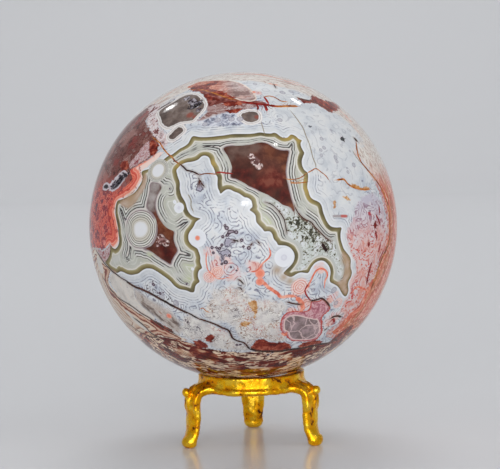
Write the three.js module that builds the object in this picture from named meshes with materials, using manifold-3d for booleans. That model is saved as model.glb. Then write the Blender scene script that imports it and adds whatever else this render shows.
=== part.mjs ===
// A polished crazy lace agate ball resting in the ring of a small gilt tripod, cast in one piece.
// Millimetres, +Z up. The origin is on the surface that the tripod stands on, straight below the
// ball's centre. The ball's front, the side with the two brown windows in its banding, faces -Y.
import * as THREE from "three";
import { mergeVertices } from "three/addons/utils/BufferGeometryUtils.js";
import Module from "manifold-3d";

const wasm = await Module();
wasm.setup();

// Driving dimensions of the ball and its seat
const BALL_DIAMETER = 80;
const SEAT_GAP = 0.25; // between the ball and the ring that carries it

// Driving dimensions of the tripod
const STAND_OFFSET_X = 1.25; // the ball sits a little left of the ring's middle
const RIM_RADIUS = 13.85; // outside of the ring at its rim
const RING_BORE_RADIUS = 12.2;
const RIM_HEIGHT = 18.3;
const RING_BOTTOM = 13.8;
const BEAD_REACH = 0.65; // how far the bead round the ring's lower edge stands out
const LEG_RADIUS = 17.4; // centre of the upright part of a leg, from the stand's axis
const LEG_WIDTH = 6.2;
const LEG_THICKNESS = 2.7;
const ROOT_FLARE = 1.6; // a leg's width where it leaves the ring, in shares of its width below
const TAPER_START = 8.5; // the height below which a leg narrows
const FOOT_RADIUS = 18.75; // centre of a foot
const FOOT_WIDTH = 5.0;
const TOE_RADIUS = 1.85; // the rounded end of a foot, ground flat below
const TOE_HEIGHT = 1.5; // centre of that rounded end
const KNOB_RADIUS = 1.15; // the small ball that stands out of a leg's shoulder
const KNOB_REACH = 1.75; // its centre, outwards from the middle of the leg
const KNOB_HEIGHT = 14.4;
const RIB_RADIUS = 0.5; // the raised ribs over a shoulder
const LEG_ANGLES = { back: 90, front_left: 210, front_right: 330 };
const LEG_TURN = -1; // degrees by which the whole tripod is turned about its axis

// Worked out
const BALL_RADIUS = BALL_DIAMETER / 2;
const SEAT_RADIUS = RING_BORE_RADIUS + SEAT_GAP; // the ball rests on the bore's upper edge
const BALL_CENTRE_Z = RIM_HEIGHT + Math.sqrt(BALL_RADIUS ** 2 - SEAT_RADIUS ** 2);

// How finely curved surfaces are faceted
const BALL_SEGMENTS = 64;
const SEAT_SEGMENTS = 72;
const RING_SEGMENTS = 48;
const BLOB_SEGMENTS = 12;
const HOLLOW_SEGMENTS = 10;
const LEG_STEPS = 12;
const LEG_SECTION_POINTS = 12;
const RIB_STEPS = 8;
const RIB_SECTION_POINTS = 8;

// A closed three.js geometry as a manifold solid.
function solidOf(geometry) {
  const bare = geometry.index ? geometry.toNonIndexed() : geometry.clone();
  const positions = new THREE.BufferGeometry();
  positions.setAttribute("position", bare.getAttribute("position"));
  const merged = mergeVertices(positions, 1e-4);
  return new wasm.Manifold(
    new wasm.Mesh({
      numProp: 3,
      vertProperties: merged.attributes.position.array,
      triVerts: new Uint32Array(merged.index.array),
    }),
  );
}

// A manifold solid as a three.js geometry.
function geometryOf(solid) {
  const mesh = solid.getMesh();
  const geometry = new THREE.BufferGeometry();
  geometry.setAttribute("position", new THREE.BufferAttribute(mesh.vertProperties, 3));
  geometry.setIndex(new THREE.BufferAttribute(mesh.triVerts, 1));
  geometry.computeVertexNormals();
  return geometry;
}

// The outline of an ellipse with the given half axes, as a shape to sweep.
function ellipseShape(halfX, halfY, points) {
  const shape = new THREE.Shape();
  for (let i = 0; i < points; i++) {
    const angle = (2 * Math.PI * i) / points;
    const x = halfX * Math.cos(angle);
    const y = halfY * Math.sin(angle);
    if (i === 0) shape.moveTo(x, y);
    else shape.lineTo(x, y);
  }
  shape.closePath();
  return shape;
}

// A section swept along a leg. A point of the route is [radius, height], and an optional third number
// is how far it lies to the side of the leg's middle.
function sweep(section, route, steps) {
  const path = new THREE.CatmullRomCurve3(
    route.map(([radius, height, side = 0]) => new THREE.Vector3(radius, side, height)),
  );
  return new THREE.ExtrudeGeometry(section, { steps, extrudePath: path, curveSegments: 1 });
}

// A sphere, or an ellipsoid where the scales differ, at a place.
function blob(radius, place, scale, segments) {
  const geometry = new THREE.SphereGeometry(radius, segments, segments / 2);
  geometry.rotateX(Math.PI / 2);
  geometry.scale(...scale);
  geometry.translate(...place);
  return solidOf(geometry);
}

// The two small open hollows in the ball's skin, where crystals line a gap in the banding.
// Azimuth is counted from +X towards +Y, and size is the half length, half width and depth of a hollow.
const HOLLOWS = [
  { azimuth: 213.9, elevation: 20.2, size: [4.4, 1.3, 1.1], turn: -24 },
  { azimuth: 240.5, elevation: 54.4, size: [2.6, 1.7, 0.9], turn: 27 },
];

// The ball, ground from one lump of agate, with the hollows cut out of it.
function ballSolid() {
  let ball = blob(BALL_RADIUS, [0, 0, BALL_CENTRE_Z], [1, 1, 1], BALL_SEGMENTS);
  for (const { azimuth, elevation, size, turn } of HOLLOWS) {
    const hollow = new THREE.SphereGeometry(1, HOLLOW_SEGMENTS, HOLLOW_SEGMENTS / 2);
    hollow.scale(...size);
    hollow.rotateZ(THREE.MathUtils.degToRad(turn));
    const polar = THREE.MathUtils.degToRad(90 - elevation);
    const out = new THREE.Vector3().setFromSphericalCoords(1, polar, THREE.MathUtils.degToRad(azimuth));
    const normal = new THREE.Vector3(out.z, out.x, out.y); // three.js counts spherical angles from +Y
    const turnedOut = new THREE.Quaternion().setFromUnitVectors(new THREE.Vector3(0, 0, 1), normal);
    hollow.applyQuaternion(turnedOut);
    hollow.translate(...normal.multiplyScalar(BALL_RADIUS).toArray());
    hollow.translate(0, 0, BALL_CENTRE_Z);
    ball = ball.subtract(solidOf(hollow));
  }
  return ball;
}

// The ring: a low collar with a thick bead round its lower edge.
function ringSolid() {
  const profile = [
    [RING_BORE_RADIUS, RING_BOTTOM + 0.5],
    [RING_BORE_RADIUS + 0.5, RING_BOTTOM],
    [RIM_RADIUS - 0.1, RING_BOTTOM],
    [RIM_RADIUS + BEAD_REACH - 0.2, RING_BOTTOM + 0.35],
    [RIM_RADIUS + BEAD_REACH, RING_BOTTOM + 0.85],
    [RIM_RADIUS + BEAD_REACH - 0.25, RING_BOTTOM + 1.35],
    [RIM_RADIUS + 0.05, RING_BOTTOM + 1.65],
    [RIM_RADIUS - 0.1, RING_BOTTOM + 2.6],
    [RIM_RADIUS, RIM_HEIGHT],
    [RING_BORE_RADIUS, RIM_HEIGHT],
    [RING_BORE_RADIUS, RING_BOTTOM + 0.5],
  ];
  const ring = new THREE.LatheGeometry(
    profile.map(([radius, height]) => new THREE.Vector2(radius, height)),
    RING_SEGMENTS,
  );
  ring.rotateX(Math.PI / 2);
  return solidOf(ring);
}

// One leg, standing out along +X from the stand's axis: it leaves the ring, turns down over its
// shoulder and kicks out to the foot.
function legSolid() {
  const route = [
    [RIM_RADIUS - 0.5, 14.95],
    [RIM_RADIUS + 1.2, 14.7],
    [LEG_RADIUS - 0.55, 13.6],
    [LEG_RADIUS - 0.05, 11.6],
    [LEG_RADIUS, 8.6],
    [LEG_RADIUS + 0.05, 5.8],
    [LEG_RADIUS + 0.35, 3.6],
    [FOOT_RADIUS, TOE_HEIGHT],
  ];
  // The sweep lays a section's first axis across the leg and its second through it.
  const section = ellipseShape(LEG_WIDTH / 2, LEG_THICKNESS / 2, LEG_SECTION_POINTS);
  const strap = sweep(section, route, LEG_STEPS);
  flareAndTaper(strap);
  const toeScale = [1, FOOT_WIDTH / 2 / TOE_RADIUS, 1];
  const toe = blob(TOE_RADIUS, [FOOT_RADIUS, 0, TOE_HEIGHT], toeScale, BLOB_SEGMENTS);
  const knobPlace = [LEG_RADIUS + KNOB_REACH, 0, KNOB_HEIGHT];
  const knob = blob(KNOB_RADIUS, knobPlace, [1, 1.1, 1], BLOB_SEGMENTS);
  const belowFloor = new THREE.BoxGeometry(4 * FOOT_RADIUS, 4 * FOOT_RADIUS, FOOT_RADIUS);
  belowFloor.translate(0, 0, -FOOT_RADIUS / 2);
  const parts = [solidOf(strap), toe, knob, ...ribSolids()];
  return parts.reduce((sum, part) => sum.add(part)).subtract(solidOf(belowFloor));
}

// Widens a strap towards the ring, and narrows it evenly from its full width at the taper's start to
// the foot's width at the toe.
function flareAndTaper(geometry) {
  const positions = geometry.getAttribute("position");
  for (let i = 0; i < positions.count; i++) {
    const below = (TAPER_START - positions.getZ(i)) / (TAPER_START - TOE_HEIGHT);
    const share = THREE.MathUtils.clamp(below, 0, 1);
    const inwards = (LEG_RADIUS - 0.8 - positions.getX(i)) / (LEG_RADIUS - 0.8 - RIM_RADIUS);
    const flare = below > 0 ? 0 : THREE.MathUtils.clamp(inwards, 0, 1) ** 2;
    const width = THREE.MathUtils.lerp(1, FOOT_WIDTH / LEG_WIDTH, share);
    positions.setY(i, positions.getY(i) * (width + flare * (ROOT_FLARE - 1)));
  }
}

// The three raised ribs that run from the ring's wall over the shoulder and die out down the leg.
function ribSolids() {
  const edge = LEG_WIDTH / 2 - 0.35;
  const skin = LEG_THICKNESS / 2;
  const sides = [-edge, edge].map((side) =>
    sweep(
      ellipseShape(RIB_RADIUS, RIB_RADIUS, RIB_SECTION_POINTS),
      [
        [RIM_RADIUS - 0.6, 15.3, side * 1.5],
        [RIM_RADIUS + 1.0, 15.3, side * 1.2],
        [LEG_RADIUS - 0.1, 14.1, side],
        [LEG_RADIUS + skin / 2, 12.0, side * 0.95],
        [LEG_RADIUS + skin / 2 - 0.15, 9.6, side * 0.9],
      ],
      RIB_STEPS,
    ),
  );
  const middle = sweep(
    ellipseShape(RIB_RADIUS * 1.1, RIB_RADIUS * 1.2, RIB_SECTION_POINTS),
    [
      [RIM_RADIUS - 0.5, 16.3],
      [RIM_RADIUS + 1.4, 15.8],
      [LEG_RADIUS + skin - 0.4, 14.6],
      [LEG_RADIUS + skin + 0.05, 12.4],
      [LEG_RADIUS + skin - 0.25, 9.8],
    ],
    RIB_STEPS,
  );
  return [...sides, middle].map(solidOf);
}

// The whole stand: ring and three legs in one casting, with the ball's seat cut into the rim.
function standSolid() {
  let stand = ringSolid();
  for (const angle of Object.values(LEG_ANGLES)) {
    stand = stand.add(legSolid().rotate([0, 0, angle + LEG_TURN]));
  }
  stand = stand.translate([STAND_OFFSET_X, 0, 0]);
  const seat = blob(BALL_RADIUS + SEAT_GAP, [0, 0, BALL_CENTRE_Z], [1, 1, 1], SEAT_SEGMENTS);
  const boreLength = 2 * RIM_HEIGHT;
  const bore = new THREE.CylinderGeometry(RING_BORE_RADIUS, RING_BORE_RADIUS, boreLength, RING_SEGMENTS);
  bore.rotateX(Math.PI / 2);
  bore.translate(STAND_OFFSET_X, 0, RIM_HEIGHT);
  return stand.subtract(seat).subtract(solidOf(bore));
}

const agate = new THREE.MeshStandardMaterial({ color: 0xcfc6c6, roughness: 0.12, metalness: 0 });
const gilt = new THREE.MeshStandardMaterial({ color: 0xe6a90f, roughness: 0.3, metalness: 1 });

const ball = new THREE.Mesh(geometryOf(ballSolid()), agate);
ball.name = "agate_ball";

const stand = new THREE.Mesh(geometryOf(standSolid()), gilt);
stand.name = "tripod_stand";

const object = new THREE.Group();
object.add(ball, stand);

export default object;
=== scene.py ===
# %% [markdown]
# A ball of crazy lace agate, ground round and polished, rests in the ring of a small gilt tripod.
# The solids of the ball and the stand come packed, at their real size, and this file dresses them.
# The ball's look is all in its markings. In the real stone, every band was laid down parallel to a
# wall or round a seed, so a band is a set of points at one distance from that wall or seed. The file
# does the same: it lays the walls, seeds, veins and cracks on the ball, measures each point's
# distance to them, and lets the material turn distances into bands.

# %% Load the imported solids
import math

import bmesh
import bpy
import numpy as np
from mathutils import Matrix, Vector, noise


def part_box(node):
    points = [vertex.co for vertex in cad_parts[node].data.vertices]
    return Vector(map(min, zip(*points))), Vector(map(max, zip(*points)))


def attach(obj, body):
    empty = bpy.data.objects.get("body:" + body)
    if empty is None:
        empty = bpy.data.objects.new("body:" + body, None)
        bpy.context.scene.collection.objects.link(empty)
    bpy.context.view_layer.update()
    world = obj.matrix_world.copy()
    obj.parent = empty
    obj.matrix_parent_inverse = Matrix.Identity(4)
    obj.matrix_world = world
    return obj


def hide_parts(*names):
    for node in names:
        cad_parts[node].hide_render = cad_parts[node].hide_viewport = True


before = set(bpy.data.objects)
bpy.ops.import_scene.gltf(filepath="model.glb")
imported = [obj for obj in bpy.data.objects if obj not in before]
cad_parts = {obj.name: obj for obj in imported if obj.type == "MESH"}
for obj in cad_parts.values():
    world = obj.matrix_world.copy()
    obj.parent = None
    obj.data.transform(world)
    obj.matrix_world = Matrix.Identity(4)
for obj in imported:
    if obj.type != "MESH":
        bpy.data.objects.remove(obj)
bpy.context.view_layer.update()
BALL_LOW, BALL_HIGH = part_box("agate_ball")
BALL_CENTRE = (BALL_LOW + BALL_HIGH) / 2
BALL_RADIUS = (BALL_HIGH.z - BALL_LOW.z) / 2
MM = 0.001
RADIUS_MM = BALL_RADIUS / MM
print("ball radius", round(RADIUS_MM, 2), "mm, centre", [round(c / MM, 2) for c in BALL_CENTRE], "mm")

# %% [markdown]
# The camera comes first, because the markings on the front are placed as they are seen from it.
# It stands half a metre away and a little above the ball's middle, with a long lens, as for a
# product picture. A lens in millimetres is the width of the sensor times the focal length in
# pixels over the picture's width. The ball's outline in the picture fixes that focal length.

# %% Camera
PICTURE = (500, 469)
CAMERA_PLACE = Vector((0, -0.545, 0.102))
CAMERA_ROLL = math.radians(1.3)
BALL_IN_PICTURE = (243.25, 226.0)
BALL_RADIUS_IN_PICTURE = 154.2

to_ball = BALL_CENTRE - CAMERA_PLACE
half_angle = math.asin(BALL_RADIUS / to_ball.length)
FOCAL = BALL_RADIUS_IN_PICTURE / math.tan(half_angle)


def camera_axes():
    """The camera's right, up and forward directions, which put the ball where the picture has it."""
    forward = to_ball.normalized()
    level_right = forward.cross(Vector((0, 0, 1))).normalized()
    level_up = level_right.cross(forward)
    right = level_right * math.cos(CAMERA_ROLL) - level_up * math.sin(CAMERA_ROLL)
    up = level_right * math.sin(CAMERA_ROLL) + level_up * math.cos(CAMERA_ROLL)
    aside = (BALL_IN_PICTURE[0] - PICTURE[0] / 2) / FOCAL
    below = (BALL_IN_PICTURE[1] - PICTURE[1] / 2) / FOCAL
    forward = (forward - aside * right + below * up).normalized()
    right = (right - right.dot(forward) * forward).normalized()
    return right, right.cross(forward), forward


RIGHT, UP, FORWARD = camera_axes()
camera_data = bpy.data.cameras.new("camera")
camera_data.sensor_width = 36
camera_data.lens = FOCAL / PICTURE[0] * camera_data.sensor_width
camera = bpy.data.objects.new("camera", camera_data)
camera.matrix_world = Matrix.Translation(CAMERA_PLACE) @ Matrix((RIGHT, UP, -FORWARD)).transposed().to_4x4()
bpy.context.scene.collection.objects.link(camera)
bpy.context.scene.camera = camera
print("lens", round(camera_data.lens, 1), "mm at", round(to_ball.length, 3), "m")

# %% [markdown]
# A mark on the ball's front is written where it is seen, as a place in the picture. A ray from the
# camera through that place meets the ball at one point, and from then on the mark is a point of the
# stone. Marks on the far side are written as millimetres right and up from a centre, which is given
# by its azimuth and elevation on the ball.

# %% Places on the ball
def seen_at(places):
    """Directions from the ball's centre to the points of its skin seen at these places of the picture."""
    places = np.asarray(places, float).reshape(-1, 2)
    aside = (places[:, :1] - PICTURE[0] / 2) / FOCAL
    below = (places[:, 1:] - PICTURE[1] / 2) / FOCAL
    rays = np.array(FORWARD) + aside * np.array(RIGHT) - below * np.array(UP)
    rays /= np.linalg.norm(rays, axis=1, keepdims=True)
    start = np.array(CAMERA_PLACE - BALL_CENTRE)
    along = rays @ start
    inside = along**2 - (start @ start - BALL_RADIUS**2)
    reach = -along - np.sqrt(np.maximum(inside, 0))
    points = start + reach[:, None] * rays
    return points / np.linalg.norm(points, axis=1, keepdims=True)


def direction(azimuth, elevation):
    """A direction from the ball's centre, with azimuth in degrees from +X towards +Y."""
    a, e = math.radians(azimuth), math.radians(elevation)
    return np.array((math.cos(e) * math.cos(a), math.cos(e) * math.sin(a), math.sin(e)))


def laid_at(azimuth, elevation, places):
    """Directions to points given in millimetres right and up along the skin from a centre."""
    middle = direction(azimuth, elevation)
    east = np.cross((0, 0, 1), middle)
    east /= np.linalg.norm(east)
    north = np.cross(middle, east)
    places = np.asarray(places, float).reshape(-1, 2) / RADIUS_MM
    angle = np.linalg.norm(places, axis=1, keepdims=True)
    across = places[:, :1] * east + places[:, 1:] * north
    return middle * np.cos(angle) + across * np.sinc(angle / np.pi)


def smooth(points, closed, cuts=4):
    """A smooth curve through points, a Catmull-Rom spline with a few cuts between neighbours."""
    points = np.asarray(points, float)
    if closed:
        before, after, last = np.roll(points, 1, 0), np.roll(points, -1, 0), np.roll(points, -2, 0)
    else:
        ends = np.vstack((2 * points[0] - points[1], points, 2 * points[-1] - points[-2]))
        before, points, after, last = ends[:-3], ends[1:-2], ends[2:-1], ends[3:]
    curve = []
    for t in np.arange(cuts) / cuts:
        a = 2 * points + (after - before) * t
        b = (2 * before - 5 * points + 4 * after - last) * t**2
        c = (3 * points - before - 3 * after + last) * t**3
        curve.append((a + b + c) / 2)
    curve = np.stack(curve, 1).reshape(-1, points.shape[1])
    if not closed:
        curve = np.vstack((curve, after[-1]))
    return curve


FRONT = seen_at([BALL_IN_PICTURE])[0]
print("the picture's middle of the ball lies at", FRONT.round(3))

# %% [markdown]
# The ball itself is a cube blown up to a sphere, which has no pinched poles. The markings need the
# most points on the side that the camera sees, so the grid is drawn together towards the front. The
# map that does it keeps small squares square, and a shrink of 0.7 halves the area of the front ones.

# %% The ball's skin
GRID = 126
DRAWN_IN = 0.7


def cube_sphere(grid):
    """Directions and four-cornered faces of a cube blown up to a sphere."""
    steps = np.tan(np.linspace(-math.pi / 4, math.pi / 4, grid + 1))
    a, b = np.meshgrid(steps, steps, indexing="ij")
    ones = np.ones_like(a)
    sides = [(a, b, ones), (b, a, -ones), (ones, a, b), (-ones, b, a), (b, ones, a), (a, -ones, b)]
    points = np.concatenate([np.stack(side, -1).reshape(-1, 3) for side in sides])
    points /= np.linalg.norm(points, axis=1, keepdims=True)
    corner = np.arange((grid + 1) ** 2).reshape(grid + 1, grid + 1)
    quads = np.stack((corner[:-1, :-1], corner[1:, :-1], corner[1:, 1:], corner[:-1, 1:]), -1).reshape(-1, 4)
    faces = np.concatenate([quads + k * (grid + 1) ** 2 for k in range(6)])
    _, first, same = np.unique((points * 1e5).round().astype(int), axis=0, return_index=True, return_inverse=True)
    return points[first], same.reshape(-1)[faces]


def turned_to_front(points):
    """The same points, with the cube's +Z side turned to the front."""
    across = np.cross((0, 0, 1), FRONT)
    across /= np.linalg.norm(across)
    upward = np.cross(FRONT, across)
    return points @ np.stack((across, upward, FRONT))


def drawn_together(points, share):
    """Points of a sphere moved towards +Z, by a map that keeps angles."""
    tangent = np.linalg.norm(points[:, :2], axis=1) / (1 + points[:, 2]).clip(1e-9)
    angle = 2 * np.arctan(share * tangent)
    aside = points[:, :2] / np.linalg.norm(points[:, :2], axis=1, keepdims=True).clip(1e-12)
    return np.column_stack((aside * np.sin(angle)[:, None], np.cos(angle)))


skin_points, skin_faces = cube_sphere(GRID)
skin_points = turned_to_front(drawn_together(skin_points, DRAWN_IN))
ball_mesh = bpy.data.meshes.new("agate_skin")
ball_mesh.from_pydata(skin_points, [], skin_faces)
ball = bpy.data.objects.new("agate_skin", ball_mesh)
bpy.context.scene.collection.objects.link(ball)
print("skin", len(skin_points), "points,", len(skin_faces), "faces")

# %% [markdown]
# Two small hollows are left open in the skin, where the banding didn't quite close. Their rims need
# smaller faces than the grid has, so the faces near them are cut in two each way, and then the points
# inside a rim are pushed in. A slight ripple keeps the rim and the floor from being a neat oval.

# %% The two hollows
# Half length, half width and depth are in millimetres, and the turn is in degrees.
HOLLOWS = [
    {"azimuth": 213.9, "elevation": 20.2, "size": (4.4, 1.3, 1.1), "turn": -24},
    {"azimuth": 240.5, "elevation": 54.4, "size": (2.6, 1.7, 0.9), "turn": 27},
]


def hollow_frame(hollow):
    """Outward, lengthwise and widthwise directions of a hollow, laid as its solid is."""
    outward = Vector(direction(hollow["azimuth"], hollow["elevation"]))
    turn = Matrix.Rotation(math.radians(hollow["turn"]), 3, "Z")
    lie = Vector((0, 0, 1)).rotation_difference(outward).to_matrix() @ turn
    return np.array(outward), np.array(lie.col[0]), np.array(lie.col[1])


def refine_near_hollows(mesh):
    """Cuts the faces round each hollow in two each way, and puts the new points on the sphere."""
    work = bmesh.new()
    work.from_mesh(mesh)
    for hollow in HOLLOWS:
        outward = Vector(hollow_frame(hollow)[0])
        reach = math.cos((hollow["size"][0] + 1.2) / RADIUS_MM)
        edges = [e for e in work.edges if outward.dot((e.verts[0].co + e.verts[1].co).normalized()) > reach]
        bmesh.ops.subdivide_edges(work, edges=edges, cuts=1, use_grid_fill=True)
    for vert in work.verts:
        vert.co.normalize()
    work.to_mesh(mesh)
    work.free()


def push_in(points):
    """How deep each point lies below the sphere, in millimetres."""
    depth = np.zeros(len(points))
    for hollow in HOLLOWS:
        outward, lengthwise, widthwise = hollow_frame(hollow)
        length, width, deepest = hollow["size"]
        from_middle = (points - outward) * RADIUS_MM
        x, y = from_middle @ lengthwise / length, from_middle @ widthwise / width
        ripple = 0.14 * np.sin(9 * x + 2.0) + 0.10 * np.sin(17 * x + 5 * y)
        rim = 1 - (x**2 + y**2) * (1 + ripple)
        near = points @ outward > 0.9
        depth = np.where(near & (rim > 0), deepest * np.sqrt(rim.clip(0)), depth)
    return depth


refine_near_hollows(ball_mesh)
SKIN = np.empty(len(ball_mesh.vertices) * 3)
ball_mesh.vertices.foreach_get("co", SKIN)
SKIN = SKIN.reshape(-1, 3)
depth_in = push_in(SKIN)
placed = SKIN * (BALL_RADIUS - depth_in * MM)[:, None] + np.array(BALL_CENTRE)
ball_mesh.vertices.foreach_set("co", placed.ravel())
ball_mesh.polygons.foreach_set("use_smooth", [True] * len(ball_mesh.polygons))
ball_mesh.update()
print("skin with hollows:", len(SKIN), "points, deepest", round(depth_in.max(), 2), "mm")

# %% [markdown]
# Every marking starts as a distance. An outline gives each point of the skin its distance to that
# outline, positive inside. A vein gives the distance to its middle, with a sign for the side, so
# that even a hair-thin vein runs smoothly between points of the skin. A seed gives the distance to a
# point, squared and shared by its size, which keeps a small dot round.

# %% Distances to lines, outlines and seeds
FAR = 8.0


def nearby(line, reach):
    """Which points of the skin may lie within reach of a line, in millimetres."""
    middle = line.mean(0)
    middle /= np.linalg.norm(middle)
    spread = np.arccos((line @ middle).clip(-1, 1)).max() + reach / RADIUS_MM
    return np.flatnonzero(SKIN @ middle > math.cos(min(spread, math.pi)))


def to_segments(points, line):
    """Distance in millimetres to a line of points, its nearest piece, and the share along that piece."""
    best = np.full(len(points), 1e9)
    piece = np.zeros(len(points), int)
    share = np.zeros(len(points))
    for k in range(len(line) - 1):
        start, along = line[k], line[k + 1] - line[k]
        from_start = points - start
        t = (from_start @ along / max(along @ along, 1e-12)).clip(0, 1)
        gap = from_start - t[:, None] * along
        square = np.einsum("ij,ij->i", gap, gap)
        closer = square < best
        best = np.where(closer, square, best)
        piece = np.where(closer, k, piece)
        share = np.where(closer, t, share)
    return np.sqrt(best) * RADIUS_MM, piece, share


def is_inside(points, line):
    """Whether each point lies inside a closed line, tested flat as seen from over the line's middle."""
    middle = line.mean(0)
    middle /= np.linalg.norm(middle)
    aside = np.cross(middle, (0.3, 0.2, 0.93))
    aside /= np.linalg.norm(aside)
    up = np.cross(middle, aside)

    def flat(p):
        share = 1 / (1 + p @ middle).clip(1e-6)
        return p @ aside * share, p @ up * share

    x, y = flat(points)
    lx, ly = flat(line)
    odd = np.zeros(len(points), bool)
    for k in range(len(line) - 1):
        crosses = (ly[k] > y) != (ly[k + 1] > y)
        if crosses.any():
            at = lx[k] + (y - ly[k]) / ((ly[k + 1] - ly[k]) or 1e-12) * (lx[k + 1] - lx[k])
            odd ^= crosses & (x < at)
    return odd


def outlined(outlines, reach=FAR):
    """Distance to the nearest of some closed outlines, positive inside, and no more than reach."""
    field = np.full(len(SKIN), -reach)
    for outline in outlines:
        line = np.vstack((outline, outline[:1]))
        near = nearby(line, reach)
        gap, _, _ = to_segments(SKIN[near], line)
        signed = np.where(is_inside(SKIN[near], line), gap, -gap)
        field[near] = np.maximum(field[near], signed.clip(-reach, reach))
    return field


def veined(veins, reach=3.0):
    """For thin lines: signed distance to the nearest in its half widths, and plain distance in millimetres."""
    across = np.full(len(SKIN), 99.0)
    apart = np.full(len(SKIN), reach)
    for line, width in veins:
        near = nearby(line, reach)
        points = SKIN[near]
        gap, piece, share = to_segments(points, line)
        along = (piece + share) / (len(line) - 1)
        taper = np.minimum(1, np.minimum(along, 1 - along) / 0.12 + 0.25)
        forward = line[piece + 1] - line[piece]
        side = np.sign(np.einsum("ij,ij->i", np.cross(forward, points - line[piece]), points))
        closer = gap < apart[near]
        across[near] = np.where(closer, side * gap / (width / 2 * taper), across[near])
        apart[near] = np.where(closer, gap, apart[near])
    return across, apart


def seeded(seeds, most=9.0):
    """Squared distance to the nearest seed, with 1 at its rim. A seed is a direction and a radius in mm."""
    field = np.full(len(SKIN), most)
    for place, radius in seeds:
        gap = np.linalg.norm(SKIN - place, axis=1) * RADIUS_MM
        field = np.minimum(field, (gap / radius) ** 2)
    return field


def patchy(patches):
    """A soft mask, 1 in the middle of round patches and fading out at their rims."""
    field = np.zeros(len(SKIN))
    for place, radius in patches:
        gap = np.linalg.norm(SKIN - place, axis=1) * RADIUS_MM / radius
        field = np.maximum(field, np.exp(-(gap**2) * 1.6))
    return field


def keep(name, values):
    """Stores one number for each point of the skin, for the material to read."""
    ball_mesh.attributes.new(name, "FLOAT", "POINT").data.foreach_set("value", np.asarray(values, np.float32))
    print(f"{name:14s}", "from", round(float(np.min(values)), 2), "to", round(float(np.max(values)), 2))


PIXEL = RADIUS_MM / BALL_RADIUS_IN_PICTURE


def ring_seeds(rows):
    """Seeds from rows of place x, place y and radius in the picture."""
    return [(seen_at([(x, y)])[0], r * PIXEL) for x, y, r in rows]


# %% [markdown]
# The heart of the stone is one large nodule, seen cut open: a wall, an olive skin inside it, a few
# sharp white and dark bands, and two windows of brown quartz that filled what was left. The wall is
# one closed outline. What the bands run round, such as the windows, is a second set of outlines.
# The bands follow from the distances to both.

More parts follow.
